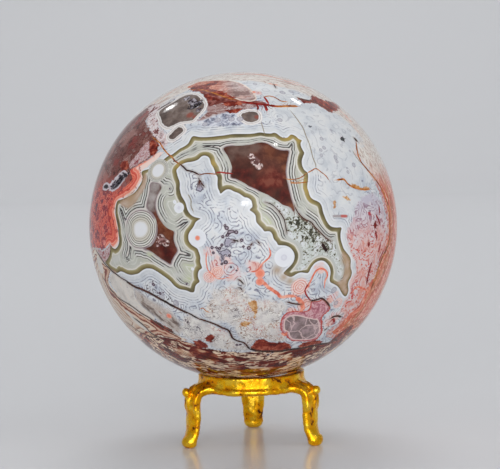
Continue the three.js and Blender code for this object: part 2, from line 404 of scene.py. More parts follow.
# %% The nodule's wall
NODULE_WALL = [
    (193, 136), (200, 137), (210, 136.8), (217, 136), (224, 135.3), (232, 134), (240, 133.8), (248, 133.8),
    (254, 133.3), (260, 132.3), (266, 133.2), (271, 133.4), (274, 132.6), (277, 133.6), (280, 136),
    (283, 137.5), (287, 137.6), (289, 136), (291, 134.5), (295, 135.5), (299, 139), (302, 140.3),
    (300.7, 142.8), (301, 146), (302.5, 149.5), (304.3, 152.7), (303.3, 156), (302, 160), (302, 164),
    (303, 167.5), (305, 170.5), (307.5, 172.5), (308.2, 176), (308, 181), (307.4, 185), (307.5, 188),
    (308.7, 191.5), (309.5, 194.5), (311, 197.5), (313.5, 199.5), (317, 201), (319.7, 202.7), (321.3, 205),
    (322.3, 208), (323.2, 212), (325, 217), (327, 221.5), (330, 225.5), (333, 227), (337, 227.4),
    (341.7, 227.4), (341, 231), (340.6, 235), (341, 240), (342.5, 245), (344, 249), (347, 253), (350, 257),
    (351, 261), (350.5, 265), (351, 269), (352, 272), (351, 277), (349, 280.5), (348, 284), (348.3, 288),
    (348.5, 291), (346.5, 296), (344, 296), (341.3, 292.5), (339.5, 289), (337, 286), (333.5, 284),
    (330, 282), (329.7, 278), (330.5, 273), (329.7, 268), (327, 263.5), (323, 260.8), (318.7, 261),
    (314.5, 263.5), (311, 268), (308.5, 272.8), (305, 273), (301, 272.5), (297, 273.7), (294, 275.7),
    (290.5, 277), (286.5, 275.6), (283.5, 273.5), (284.5, 271.5), (288, 268), (291.5, 264.5),
    (293.8, 260.5), (294.5, 256), (293.3, 251.7), (290.5, 248.2), (286.5, 246), (281.5, 245.4), (278, 245),
    (276.6, 242.3), (273.7, 239), (272.5, 235), (270.5, 231.9), (267.5, 231.3), (264.5, 231.5),
    (262, 228.5), (259, 225.5), (256.5, 222.5), (255.8, 219.5), (255.5, 216), (253.5, 213), (249.3, 209.8),
    (252.3, 207), (252, 203.5), (251, 200.5), (248, 198), (244.5, 197.3), (242.5, 196), (240.5, 194.5),
    (238, 193), (234, 191.6), (231, 190), (228.5, 189.3), (226, 189.8), (223.5, 191.5), (220.4, 194),
    (219.3, 191), (218, 188.5), (217.3, 184), (217.5, 180), (217.3, 177), (215.5, 174), (214.5, 170.5),
    (213, 167), (211, 164), (210, 160), (208.5, 157.2), (205, 155.7), (201.5, 156.5), (198.5, 159.5),
    (195, 161), (191, 162), (188, 162.3), (184.5, 163.3), (181, 165), (178.5, 167.5), (176.5, 170),
    (177, 173), (178, 177), (179.5, 181), (180, 184), (179.8, 188), (180.5, 192), (181.5, 195.5),
    (183.5, 199), (185.5, 202.5), (186.5, 206), (187.5, 209.5), (189.5, 213), (192, 215.5), (195, 217),
    (200.7, 218.6), (198, 220.3), (195.5, 222.5), (194, 226), (192, 229), (190, 231.5), (188.5, 235),
    (188.5, 239), (189.5, 242), (192, 245), (195, 247), (197.5, 248.7), (198.5, 251), (199.7, 254.3),
    (200.5, 258), (200.3, 262), (202.2, 268), (199.7, 269.7), (198.3, 272.5), (198, 276), (198.7, 279),
    (199.8, 281.7), (197, 284), (195.3, 286.5), (194.2, 292), (190.5, 292.3), (187.5, 291), (184, 290),
    (180, 289.3), (176.5, 287.5), (173.5, 285), (170.5, 281.5), (167, 278.5), (163.5, 276), (160, 273.5),
    (156, 271), (152, 269), (147.5, 268.5), (144, 269.5), (141, 271.5), (138.5, 273.5), (135, 274.5),
    (131, 275), (127, 274), (124, 272.5), (120.5, 271.5), (117, 273), (111, 269.5), (107.5, 265.5),
    (105, 262), (107.5, 259), (109.3, 255), (110.2, 250), (110.6, 245), (112, 247), (115, 248.8),
    (117.5, 246.5), (119, 242.5), (119, 238), (118.3, 233), (118, 228), (117, 223), (116, 218),
    (115.3, 213), (115.5, 208), (116.5, 203), (118, 200.5), (121, 199.5), (126, 197.5), (131, 195),
    (135, 192), (138, 188), (140.5, 184), (142, 180.5), (142.5, 177), (141.5, 173), (143, 170.7),
    (150, 168.5), (155, 165), (160, 161.5), (164, 159), (168, 156), (172, 154.5), (176, 151.5),
    (180, 148.5), (184, 146.5), (188, 143.5), (190, 140),
]
UPPER_WINDOW = [
    (223.5, 148.5), (228, 146.3), (235, 145.8), (243, 145.4), (250, 144.6), (256, 143.2), (261, 142.3),
    (265, 143), (269, 144.6), (273, 147.2), (278, 149.6), (283, 150.6), (288.5, 151), (288.3, 155),
    (287.3, 160), (286.3, 165), (285.7, 170), (286, 175), (286.8, 180), (287.8, 185), (289, 190),
    (290.2, 195), (291.5, 200), (293, 204), (294.3, 208), (294.5, 216), (292.5, 210), (290, 207),
    (286, 206), (282, 204.5), (279, 202), (275, 199.5), (271, 197), (268, 195), (264, 193.3), (260, 191.5),
    (256, 189), (252, 187.3), (248, 185.5), (244, 183), (240, 180.8), (236, 178.7), (231, 177.3),
    (231.5, 172), (232, 168), (231, 164), (229.5, 160), (227.5, 156), (225.3, 152.3),
]
LOWER_WINDOW = [
    (151, 183.5), (156, 183.3), (160.5, 185.5), (161.5, 188.5), (159.3, 191.5), (157, 195), (155.5, 200),
    (155, 206), (156, 211), (158, 216), (161, 221), (164, 225), (168, 228.5), (173.8, 231.5), (173.6, 238),
    (174.5, 243), (177.2, 250.3), (175.3, 254), (173, 258), (171.3, 261.5), (170.3, 264), (166, 261.5),
    (161, 258.5), (156, 255), (152, 252), (148, 249.8), (144, 248.8), (149, 247), (153, 244), (156, 239),
    (157.2, 234), (157.5, 229), (156.8, 223), (155, 217), (152, 212.5), (148.3, 209), (147, 206),
    (147.8, 201), (149.3, 196), (150.3, 190),
]
SPECKLED_POCKET = [
    (264.5, 200.5), (269, 203), (274, 206), (278, 210), (281, 214), (283.5, 219), (285.3, 225), (287, 231),
    (287.7, 235.5), (290, 238.3), (294, 239.7), (298, 242), (301, 246.5), (303, 251), (303.3, 256),
    (302.2, 261), (300, 265.5), (297, 269), (300, 270.3), (304.5, 268), (308, 263), (312, 258.5),
    (317, 255.7), (322, 254.7), (328, 255.8), (333, 259.5), (336, 265), (337.5, 271), (338.5, 277),
    (341.5, 275.5), (342.5, 270), (341, 263), (338, 256), (336.3, 250), (335.5, 243), (334, 239.3),
    (331.5, 240.7), (327, 239), (321.5, 234.5), (316.5, 228.5), (312.5, 223.5), (306.5, 219.3),
    (301.5, 215.5), (298.3, 211), (296.5, 212.5), (294.5, 217), (291, 213.5), (287, 209), (281.5, 206),
    (277, 203), (272, 200.8), (268, 199),
]
BIG_ORB = [
    (141.3, 211), (149, 213.5), (154.5, 221), (156, 229), (154, 238), (148.5, 245), (141, 247.5),
    (133.5, 245.5), (128.5, 238), (127, 229), (128.5, 219.5), (134, 213),
]


# Bands that grew from two sides meet along a seam.
SEAMS = [
    [(119, 206), (121, 211), (123, 217), (125, 224), (126, 231), (128, 238), (128.7, 245), (128.3, 251),
     (126.5, 257)],
    [(131, 243), (132.5, 248), (131.5, 257)],
    [(133, 248.5), (138, 249), (144, 248)],
    [(160.5, 186), (165, 185.3), (168, 186.5), (170.7, 188.7)],
    [(150.5, 184), (149.8, 178), (148, 172.5)],
    [(172, 230), (177, 228.6), (181, 226.6), (185, 223.6), (188.3, 221.5)],
    [(176.5, 250.5), (181, 252.6), (185, 253.5), (190, 254.6)],
    [(171, 262), (174.5, 269), (178, 275), (183, 280.7), (188, 283.8)],
    [(224, 148.5), (214, 146.3), (206, 146.3), (198, 147.8), (190, 150.6), (183, 153.6), (176, 158)],
    [(289, 151), (291, 147.5), (291.7, 143.6)],
]


def drawn(places):
    """A closed outline through places of the picture, as directions on the ball."""
    return seen_at(smooth(places, closed=True, cuts=3))


def open_line(places):
    """An open line through places of the picture, as directions on the ball."""
    return seen_at(smooth(places, closed=False, cuts=3))


def lobed(azimuth, elevation, radius, seed, stretch=1.3):
    """An invented outline with round lobes, for the far side: its mean radius is in millimetres."""
    pick = np.random.default_rng(seed)
    turn = pick.uniform(0, 2 * math.pi, 5)
    a = np.linspace(0, 2 * math.pi, 90, endpoint=False)
    r = 1 + 0.16 * np.sin(2 * a + turn[0]) + 0.13 * np.sin(3 * a + turn[1])
    r += 0.16 * np.abs(np.sin(2.5 * a + turn[2])) + 0.07 * np.abs(np.sin(7 * a + turn[3]))
    x, y = radius * r * np.cos(a) * stretch, radius * r * np.sin(a)
    lean = turn[4]
    return laid_at(azimuth, elevation, np.column_stack((
        x * math.cos(lean) - y * math.sin(lean), x * math.sin(lean) + y * math.cos(lean))))


# Nodules of the far side: azimuth, elevation, mean radius of the wall and of the window, and seed.
FAR_NODULES = [(62, 12, 15, 7.5, 3), (128, -14, 12, 5.5, 8), (20, 28, 7.5, 2.8, 5), (106, 44, 8.5, 3.6, 11)]
far_walls = [lobed(az, el, outer, seed) for az, el, outer, inner, seed in FAR_NODULES]
far_windows = [lobed(az + 1.5, el - 1, inner, seed + 40) for az, el, outer, inner, seed in FAR_NODULES]

# A seam counts from a little below the first band, so it shows as a line and has no rim of its own.
SEAM_SUNK = 0.55
wall = outlined([drawn(NODULE_WALL)] + far_walls)
windows = [drawn(UPPER_WINDOW), drawn(LOWER_WINDOW)] + far_windows
core = outlined(windows + [drawn(SPECKLED_POCKET), drawn(BIG_ORB)])
for seam in SEAMS:
    line = open_line(seam)
    near = nearby(line, FAR)
    core[near] = np.maximum(core[near], -to_segments(SKIN[near], line)[0] - SEAM_SUNK)
keep("wall", wall)
keep("core", core)
keep("window", outlined(windows))
keep("pocket", outlined([drawn(SPECKLED_POCKET)]))

# %% [markdown]
# Round orbs grew from single seeds, so their bands are rings. A small orb has the same rings as a
# big one, only closer together, so its distance is stretched until its middle counts like the big
# one's. Pearls are plain white balls of the same kind, and rosettes show fine coral rings.

# %% Orbs, pearls and rosettes
ORB_DEPTH = 4.4
PALE_ORB_DEPTH = 5.8
# Places and radii are in the picture's pixels.
PALE_ORB = (158, 170.5, 11.8)
PEARLS = [(179, 207.8, 5.1), (174.6, 201.9, 1.9), (192.6, 269, 1.7), (197.5, 238, 8.5), (284, 257.5, 9.2)]
ROSETTES = [(300, 287, 9), (217.5, 272, 6), (209, 277, 6), (338, 303, 6), (321, 270, 4)]
# Azimuth, elevation and radius in millimetres, on the far side.
FAR_ORBS = [(78, 30, 3.4), (40, -12, 4.6), (150, 14, 3.8), (95, -34, 5.0), (12, -20, 3.2), (140, 40, 3.0)]
FAR_PEARLS = [(70, 22, 1.6), (50, 2, 1.2), (120, -6, 1.5), (160, -28, 1.4), (30, 40, 1.8)]
FAR_ROSETTES = [(25, 5, 2.6), (88, -10, 3.2), (145, -38, 3.0), (110, 24, 2.4)]


def beyond(rows):
    """Seeds on the far side, as directions with a radius in millimetres."""
    return [(direction(az, el), radius) for az, el, radius in rows]


def ring_depth(place, radius, depth):
    """Distance inwards from a round orb's rim, stretched so that its middle lies at a given depth."""
    gap = radius - np.linalg.norm(SKIN - place, axis=1) * RADIUS_MM
    return (gap * depth / radius).clip(-FAR)


orbs = outlined([drawn(BIG_ORB)])
orbs = np.maximum(orbs, ring_depth(*ring_seeds([PALE_ORB])[0], PALE_ORB_DEPTH))
for place, radius in beyond(FAR_ORBS):
    orbs = np.maximum(orbs, ring_depth(place, radius, ORB_DEPTH))
keep("orbs", orbs)
keep("pearls", seeded(ring_seeds(PEARLS) + beyond(FAR_PEARLS)))
rosette = np.full(len(SKIN), 9.0)
for place, radius in ring_seeds(ROSETTES) + beyond(FAR_ROSETTES):
    rosette = np.minimum(rosette, np.linalg.norm(SKIN - place, axis=1) * RADIUS_MM / radius)
keep("rosettes", rosette)

# %% [markdown]
# Outside the nodule lie regions of other colours. Each list below holds the outlines that share one
# finish. A stretch of a region that passes out of sight is carried on by points at the far side.

# %% Regions outside the nodule
RED_LIMB = [
    (120, 133), (130, 122), (139, 114), (147, 108), (149, 113), (146, 121), (150, 131), (156, 138),
    (158.5, 144), (157.5, 150), (153, 156), (146, 161), (139, 165), (134, 168.5), (138, 172), (139, 178),
    (136, 184), (131, 190), (124, 195), (117, 199), (114.5, 204), (113, 211), (114.5, 218), (116, 226),
    (117, 234), (116.5, 241), (112, 245.5), (109.5, 243), (106, 247), (102, 250), (97, 248),
]
RED_LIMB_FAR = [(179, -7), (170, -12), (160, -6), (154, 6), (158, 18), (150, 30), (160, 42), (178, 44)]
CORAL_BAND = [
    (157, 153), (164, 152), (160, 156.5), (155, 161), (150, 164.5), (144.5, 168.3), (141.5, 171),
    (142.3, 175.5), (142, 179.5), (139.5, 184), (136, 189), (131, 194), (125, 197.3), (119.5, 199.3),
    (116.5, 202), (115.3, 207), (115, 213), (116, 218), (117.2, 224), (118, 230), (118.8, 237),
    (118.7, 242), (117, 246), (115, 248), (112.3, 246.5), (109.8, 243.5), (107, 246.5), (104.5, 247),
    (106, 241), (104.5, 233), (106.5, 226), (104, 219), (101.5, 212), (102.5, 204.5), (107, 203),
    (112, 203.5), (114, 198), (119, 192.5), (125, 187), (130.5, 182), (132, 177), (130.5, 172),
    (131, 169.3), (136, 166.5), (142, 163.2), (149, 159.5),
]
WHITE_SPIKE = [
    (109.8, 243), (111.5, 248), (110, 255), (107.5, 260), (104.5, 262.5), (101, 257), (97.5, 250.5),
    (99.5, 249), (102.5, 251), (105.5, 249.5), (107.8, 246.5),
]
PINK_PATCH = [
    (129, 168.5), (130, 163.5), (133, 158.5), (138, 152.5), (142.5, 147.5), (146.5, 142.5), (149.5, 142),
    (149, 148.5), (150.5, 154.5), (148, 158), (143, 161), (137, 164.3), (133, 167),
]
BRICK = [
    [(149.5, 142), (152, 139.5), (156, 142), (158.5, 147), (157, 152), (154, 155.5), (151, 156), (149, 152),
     (150, 147)],
    [(121, 163), (126, 160), (129, 163), (128, 169), (124, 171), (120.5, 168)],
    [(190, 88.5), (197, 85.5), (206, 84.5), (213, 81.5), (218, 80.8), (217, 84), (209, 87), (212, 89.5),
     (220, 91), (226, 93), (231, 95.5), (237, 97.5), (230, 98), (221, 95.5), (214, 93.5), (206, 90.5),
     (199, 91.5), (192, 91)],
    [(199, 91.5), (204, 92.5), (210, 95.5), (217, 98), (221, 101), (214, 100.5), (208, 99), (203.5, 95.5)],
    [(222, 103.5), (229, 101), (238, 101.5), (243, 104), (236, 106), (227, 106.5)],
    [(226, 110.5), (232, 109.5), (238, 108.5), (243, 109), (238, 112), (231, 113.5)],
    [(313, 95.5), (318, 98), (325, 100.5), (332, 102), (337, 104.5), (339.5, 108), (336, 110.5), (332, 113),
     (326, 110), (320, 106), (315.5, 103.5), (306, 103.5), (300, 100.5), (297.5, 97.5), (303, 99),
     (310, 100)],
    [(205.5, 338), (207, 335.8), (211, 334.3), (213.6, 336.5), (213.5, 339.5), (210.5, 342.5), (207, 341)],
    [(193, 342), (198, 340.3), (203, 341.3), (206.5, 343.8), (208, 347), (204, 348.3), (197, 347)],
    [(250.5, 347), (254, 343), (257.5, 339.5), (263, 339), (269, 341.5), (276, 342.7), (283, 342),
     (289, 343.3), (291.5, 347), (288, 350), (276, 351), (262, 351), (253, 350)],
    [(150, 320), (154, 320.5), (160, 323.5), (166, 326.5), (172, 330), (174, 332.8), (168, 332),
     (160, 328.5), (153, 324)],
    [(302, 343.5), (308, 341), (315, 340.5), (321, 341), (322, 343.3), (314, 345), (306, 346.5), (298, 348),
     (299.5, 345)],
    [(330, 342), (335, 337), (340, 332.5), (346, 328.5), (352, 324.5), (351, 330), (346, 336), (339, 341),
     (333, 344)],
]
STRATA_EDGE = [
    (150, 333), (157, 335.8), (165, 337.5), (173, 339), (181, 340.5), (188, 342.5), (195, 345), (203, 348),
    (212, 349), (222, 351), (233, 352), (243, 352.5), (252, 351.5), (262, 351.3), (274, 351.5),
    (286, 350.8), (297, 349), (308, 347), (320, 344.5), (330, 342.5), (338, 339),
]
STRATA_FAR = [
    (338, -40), (355, -44), (15, -49), (40, -54), (70, -50), (100, -56), (130, -50), (160, -46), (180, -46),
    (198, -45), (206, -43),
]
TAN_LIMB = [
    (93.5, 250), (97, 251.5), (100, 257.5), (104, 262.5), (108, 267), (110.5, 270.5), (109, 275),
    (108.5, 281), (110.5, 286.5), (115, 291.5), (120, 297), (127, 303.5), (134, 307.7), (141, 313),
    (148, 317), (154, 321), (160, 325.5), (167, 329.5), (174, 333.5), (181, 337), (187, 340.5), (178, 341),
    (170, 339.5), (160, 337.5), (152, 341), (147, 344),
]
TAN_LIMB_FAR = [(203, -45), (190, -36), (178, -26), (176, -14)]
CREAM = [
    [(97, 255), (99.5, 258), (102, 264), (103.5, 269.5), (103, 273.5), (100.5, 272), (98.3, 266), (97, 260)],
    [(110, 276.5), (112, 273.7), (116, 274.5), (121, 278.3), (127, 282.5), (133.5, 286.6), (133.5, 291),
     (135, 297), (138, 302), (143, 307.5), (149, 312), (155, 318), (152, 319.5), (146, 315.5), (140, 311.8),
     (134, 307), (127, 302.6), (121, 297.5), (116.5, 294), (117, 291.5), (113.5, 288), (110.5, 282.5)],
    [(124, 309), (130, 313), (137, 319), (144, 325), (150, 331), (154, 335), (147, 331), (139, 325.5),
     (131, 318)],
    [(128, 301.5), (134, 306.5), (141, 311.5), (150, 316.8), (157, 321), (150, 318.8), (140, 314),
     (132, 308.5)],
]
HAZE = [
    (134.5, 290), (139, 291.5), (146, 297), (154, 302), (163, 307), (170, 311), (176, 318), (180, 323),
    (181.5, 330.5), (178, 333), (171, 329.5), (164, 324.5), (158, 319), (151, 313.5), (144, 308),
    (138, 302), (134.8, 296),
]
GRAINY = [
    [(211.5, 290), (217, 291), (222, 289.5), (228, 286.5), (236, 287), (243, 290.5), (249, 297), (258, 300),
     (268, 300), (279, 302), (289, 305), (284, 311), (281, 318), (279.5, 326), (282, 334), (286, 340),
     (275, 341.5), (264, 338), (256, 339), (250, 345), (243, 341), (239, 335), (236, 328), (226, 322.5),
     (214, 320), (204, 316), (206, 305), (211.5, 298)],
    [(183, 319), (188, 316.3), (196, 319), (205, 322.5), (214, 326), (222, 328.8), (229, 333), (233, 339.5),
     (239, 343), (246, 346.5), (250, 349.5), (240, 350), (228, 349.5), (216, 347.5), (208, 343),
     (200, 339.5), (191, 338.5), (184, 335), (181.5, 327)],
]
SMOKY = [
    [(159, 113.3), (161, 110), (165, 107), (171, 103.8), (176, 100.8), (180, 98.2), (185, 95.7),
     (190, 94.7), (195.5, 95), (200, 98), (203.2, 102), (204, 106), (201.7, 110.5), (198, 114.3),
     (192.7, 120), (189, 120.8), (184, 121.2), (178, 122.8), (173, 125.3), (168.5, 127), (164.3, 125.3),
     (162, 122), (161, 118)],
    [(169, 137), (170.7, 134.3), (175, 130), (179.5, 127), (182.6, 129), (183.3, 130.7), (181.5, 132.7),
     (177.5, 136), (174, 139), (170.7, 139.2)],
    [(241, 115), (246, 112.2), (252, 111.5), (257, 112.7), (258.7, 116), (258, 119.5), (254.5, 121.5),
     (249, 122), (244, 119.8)],
]
TOP_LENS = [
    (187, 87.5), (193, 84.5), (199, 82), (210, 81), (220, 80.5), (230, 81), (240, 83.6), (247.5, 88),
    (252.5, 93), (255, 99), (247.5, 100.8), (240, 99.3), (231.3, 96), (222.5, 93.6), (215, 91),
    (206.3, 89.3), (198.8, 88.4),
]
TOP_WEDGE = [
    (190, 88.6), (198.8, 88.6), (206.3, 89.6), (215, 91.4), (222.5, 94), (231.3, 96.4), (240, 99.7),
    (247.5, 101), (256, 100.8), (265, 102.6), (266, 105.6), (256, 104.6), (246, 104), (235, 103),
    (225, 102.6), (215, 105), (208, 106), (206, 99), (200, 92.6),
]
TOP_VEIL = [
    (206, 106), (215, 104), (225, 102), (235, 102.4), (246, 103.6), (258, 104.6), (255, 107.5), (246, 109),
    (238, 110.5), (230, 111), (222, 113.5), (213, 116), (205, 119), (197, 121), (203, 116), (207, 111),
]
TOP_LILAC = [
    (197, 121), (205, 119), (213, 116), (222, 113.5), (230, 111), (238, 110.5), (241, 115), (244, 120),
    (250, 123), (240, 125), (228, 126), (214, 126.5), (203, 126),
]
FLECKED_EDGE = [
    (148, 107), (153, 104.5), (158.5, 104), (160.5, 110), (158, 116), (158.5, 124), (161, 130), (167, 134),
    (169, 140), (163, 146.5), (158.5, 147.5), (155.5, 140), (150, 131), (146.5, 121),
]
# The sheets of the right side begin at this line and run on out of sight.
RIGHT_SHEETS = [
    (357, 150), (361, 160), (367, 168), (373, 177), (378, 186), (382, 196), (385.5, 208), (387.5, 220),
    (387.5, 232), (385.5, 243), (382, 254), (378, 265), (373, 276), (366, 287), (360, 298), (353, 308),
    (345, 317), (337, 326), (329, 335),
]
RIGHT_SHEETS_FAR = [(344, -44), (2, -42), (16, -34), (24, -14), (22, 6), (12, 22), (356, 34)]
RIGHT_NET = [
    (356, 205), (362, 198), (370, 193), (377, 196), (383, 207), (386, 224), (385, 238.6), (381.4, 253),
    (377, 264), (373, 275.7), (367, 287), (363, 298.6), (356, 308), (348, 315), (341, 312), (344, 304),
    (348.6, 298.6), (351.4, 287), (355.7, 275.7), (356, 264), (350.7, 250), (347, 238), (347, 230),
    (351, 224), (354, 215),
]
GREY_CLUSTERS = [
    [(224, 244), (225, 240), (228, 238.3), (232, 239.5), (236, 240.5), (234, 242.7), (231, 243.3),
     (229.5, 246), (226, 246.7)],
    [(216.5, 247.5), (219, 249), (221.3, 252), (224, 249.5), (228, 249.3), (231, 252.5), (230.3, 257),
     (227.5, 257), (225.5, 254.5), (224, 257), (223.2, 263), (220.3, 264), (221.5, 257), (219, 253),
     (216, 250)],
    [(198.7, 181), (200, 184), (203, 187.3), (202.7, 190), (199, 191.2), (196.3, 189.7), (197.5, 186),
     (198, 183)],
]
PURPLE_POCKET = [
    (283.5, 324), (285, 318.5), (289, 315.5), (295, 314.7), (302, 315.7), (308, 317.3), (314, 318.5),
    (318.3, 319.5), (319.6, 324), (320, 330), (318.2, 334), (315, 337.6), (309, 339.6), (300, 339.8),
    (293, 339.5), (289.5, 337), (288.3, 333), (286.5, 331.5), (284, 330),
]
GARNET = [
    [(281, 332), (280, 326), (281, 319.5), (284, 315), (288.5, 311.8), (295, 310.7), (302, 311),
     (309, 309.5), (310.8, 301.5), (316, 300.7), (320, 300.2), (323, 298.6), (326.8, 302), (330, 306.5),
     (330.5, 309), (327, 312.5), (322.5, 316.7), (322, 321), (322.5, 328), (321.8, 333), (319, 337),
     (316, 339.5), (309, 341.3), (298, 341.5), (290, 340.5), (286.5, 336.5), (284, 334)],
]
TAWNY = [
    [(118.5, 202), (121, 205.3), (124, 207.8), (128.5, 208.8), (133, 206), (137, 201.3), (141, 195.5),
     (144, 190), (146.3, 184), (147.2, 178), (146.7, 173.8), (143.7, 173.3), (142.7, 179), (140.2, 185),
     (136.7, 190.5), (131, 195.2), (125, 198), (120, 200.3)],
    [(341, 250), (344.5, 252), (348.5, 256), (350.5, 262), (350.5, 268), (351.3, 272), (350, 277),
     (348, 281), (347, 286), (348, 290), (346.5, 295), (343.5, 294.5), (341, 290.5), (338, 286),
     (334, 283.3), (331.5, 281.5), (336, 281), (340, 280), (343, 276), (344.5, 270), (343.5, 263)],
    [(107, 268), (112, 268.5), (117, 272), (115.5, 274.5), (111, 271.5)],
]
OCHRE = [
    [(248, 303), (252, 300.5), (255.5, 300), (257, 304), (257.5, 309), (256, 314), (255, 319), (253.5, 319),
     (253.8, 312), (251, 308)],
    [(240, 324.5), (245, 321.5), (250, 321.5), (251, 323.5), (247, 326), (242, 327)],
    [(350, 184.5), (354, 184), (358, 185.5), (362, 188), (367, 187), (370.5, 188), (368, 190.5), (361, 190),
     (355, 188.5)],
    [(342.5, 196.3), (347, 196.5), (350, 198.5), (349.5, 200), (345.5, 199)],
    [(333.5, 201), (335.5, 202), (335.7, 206.5), (333.8, 207.5)],
    [(291.5, 207), (294.2, 208), (294.8, 213), (294, 218), (292.5, 213)],
]
FAR_BRICK = [lobed(az, el, radius, seed) for az, el, radius, seed in [(30, -28, 5, 21), (80, -2, 3.4, 22), (120, 12, 4.2, 23)]]
FAR_SMOKY = [lobed(az, el, radius, seed) for az, el, radius, seed in [(45, 48, 4.6, 31), (150, -2, 3.6, 32), (100, -20, 3.0, 33)]]
FAR_GRAINY = [lobed(az, el, radius, seed) for az, el, radius, seed in [(95, -36, 9, 41), (15, -38, 7, 42), (75, 58, 9, 43)]]


def carried_on(places, far_places):
    """A closed outline that runs through places in sight and then through far ones."""
    far = np.array([direction(az, el) for az, el in far_places])
    line = smooth(np.vstack((seen_at(places), far)), closed=True, cuts=3)
    return line / np.linalg.norm(line, axis=1, keepdims=True)


keep("red_limb", outlined([carried_on(RED_LIMB, RED_LIMB_FAR)]))
keep("coral_band", outlined([drawn(CORAL_BAND)]))
keep("white_patch", outlined([drawn(WHITE_SPIKE), drawn(PINK_PATCH)]))
keep("brick", outlined([drawn(each) for each in BRICK] + FAR_BRICK))
keep("strata", outlined([carried_on(STRATA_EDGE, STRATA_FAR)]))
keep("tan_limb", outlined([carried_on(TAN_LIMB, TAN_LIMB_FAR)]))
keep("cream", outlined([drawn(each) for each in CREAM]))
keep("haze", outlined([drawn(HAZE)]))
keep("grainy", outlined([drawn(each) for each in GRAINY] + FAR_GRAINY))
keep("smoky", outlined([drawn(each) for each in SMOKY] + FAR_SMOKY))
keep("top_lens", outlined([drawn(TOP_LENS)]))
keep("top_wedge", outlined([drawn(TOP_WEDGE)]))
keep("top_veil", outlined([drawn(TOP_VEIL)]))
keep("top_lilac", outlined([drawn(TOP_LILAC)]))
keep("flecked", outlined([drawn(FLECKED_EDGE)]))
keep("right_sheets", outlined([carried_on(RIGHT_SHEETS, RIGHT_SHEETS_FAR)], reach=14))
keep("net", outlined([drawn(RIGHT_NET)]))
keep("clusters", outlined([drawn(each) for each in GREY_CLUSTERS]))
keep("purple", outlined([drawn(PURPLE_POCKET)]))
keep("garnet", outlined([drawn(each) for each in GARNET]))
keep("tawny", outlined([drawn(each) for each in TAWNY]))
keep("ochre", outlined([drawn(each) for each in OCHRE]))
# Vugs: inside these outlines the colour is a pale rim and then painted shade, nearly black, as of a hollow.
VUGS = [
    [(109, 186), (113, 181), (117, 176.5), (121, 173), (124, 171.5), (125.5, 174), (124.5, 178.5),
     (121.5, 183), (117.5, 187.5), (113, 190), (109.5, 189)],
    [(103.5, 185.5), (106, 183.5), (108.3, 184.5), (108.3, 187.5), (106, 189.7), (103.6, 188.5)],
]
keep("vug", outlined([drawn(each) for each in VUGS]))
DARK_BLOTS = [
    [(342.8, 135.6), (343.8, 137.9), (346.3, 138.1), (344.4, 139.6), (345, 142.2), (342.6, 140.8),
     (340.4, 142.3), (340.9, 139.7), (339, 138), (341.6, 137.9)],
    [(308.5, 125), (310, 126), (312, 125.3), (311.6, 127), (309.5, 127.6)],
    [(354, 137.5), (356, 138.6), (357.6, 141), (356, 141.6), (354.6, 139.8)],
]
keep("blots", outlined([drawn(each) for each in DARK_BLOTS]))
SLOT = [
    (333, 215), (341, 214.6), (347, 214.8), (348.5, 216.2), (346.5, 217.6), (340, 217.6), (334, 217.5),
    (332.7, 216.2),
]
keep("slot", outlined([drawn(SLOT)]))

# %% [markdown]
# Veins are cracks that filled later. Thin ones carry rust, ochre, coral or blood red, and the open
# cracks look nearly black. Each vein is a line with a width in millimetres, and it thins out at both
# ends.

# %% Veins and cracks
RUST_VEINS = [
    ([(189, 89.5), (195, 90), (201, 89.5), (207, 91), (212, 92.5), (219, 95), (228, 98), (240, 101)], 0.45),
    ([(152, 137), (156, 140), (160, 143), (163, 148), (168, 154), (172, 157), (175, 161), (181, 165)], 0.36),
    ([(199, 175), (206, 173.5), (214, 174), (217, 174)], 0.3),
    ([(307.5, 173), (309, 172), (312, 170.5), (316, 168.5), (321, 172), (326, 176), (329.5, 181)], 0.28),
    ([(286, 179), (292, 179.5), (300, 178), (307, 173)], 0.26),
    ([(290, 183), (298, 183), (307.5, 182)], 0.3),
    ([(336, 180), (340, 179.5), (344, 179.3), (348, 184), (353, 187), (358, 188.5), (364, 189.5),
      (370, 189)], 0.5),
    ([(356, 140), (357, 150), (360, 160), (366, 168), (372, 175), (378, 183), (383, 191), (387, 200)], 0.55),
    ([(383, 190), (387, 201), (389.3, 213), (390, 226), (389.5, 240), (386, 250), (382, 258), (379, 266),
      (377, 274), (373, 284), (370, 293)], 0.95),
    ([(200, 309), (203, 308), (206, 311), (210, 312.5)], 0.25),
    ([(263, 97), (270, 96), (276, 98), (281, 101), (288, 102)], 0.4),
    ([(269, 106), (280, 106.3), (290, 106), (298, 106.3)], 0.8),
]
CORAL_VEINS = [
    ([(262, 282), (264, 283), (268, 287), (274, 291), (278, 294), (281, 297), (286, 296.5), (291, 296),
      (297, 296.5)], 0.85),
    ([(250, 272), (256, 271), (260, 267.5), (262, 264), (266, 260.5), (269.5, 257), (270.5, 253),
      (269.3, 248)], 0.4),
    ([(207, 252), (206, 258), (206.5, 264), (208, 270), (213, 275), (219, 279), (230, 277)], 0.26),
    ([(303, 292), (308, 286), (311, 280), (313.5, 275), (316, 271), (320, 268.7), (324, 269.3),
      (327, 272.5), (327, 277), (325, 281), (324.5, 288)], 0.5),
    ([(232, 75), (240, 74.3), (250, 74), (262, 75), (272, 77), (280, 79), (290, 82), (300, 85.3),
      (310, 88.5)], 0.55),
    ([(296, 297), (301, 302), (303, 308), (300, 311)], 1.2),
    ([(372, 286), (367, 293), (364, 300), (362, 306), (357, 311), (350, 315), (346, 320)], 1.5),
    ([(391, 193), (393.5, 203), (394.5, 215), (394.5, 232)], 0.7),
    ([(281.5, 333), (285, 335.5), (287, 332)], 0.6),
    ([(352, 293), (356, 287), (362, 288), (368, 291)], 0.5),
]
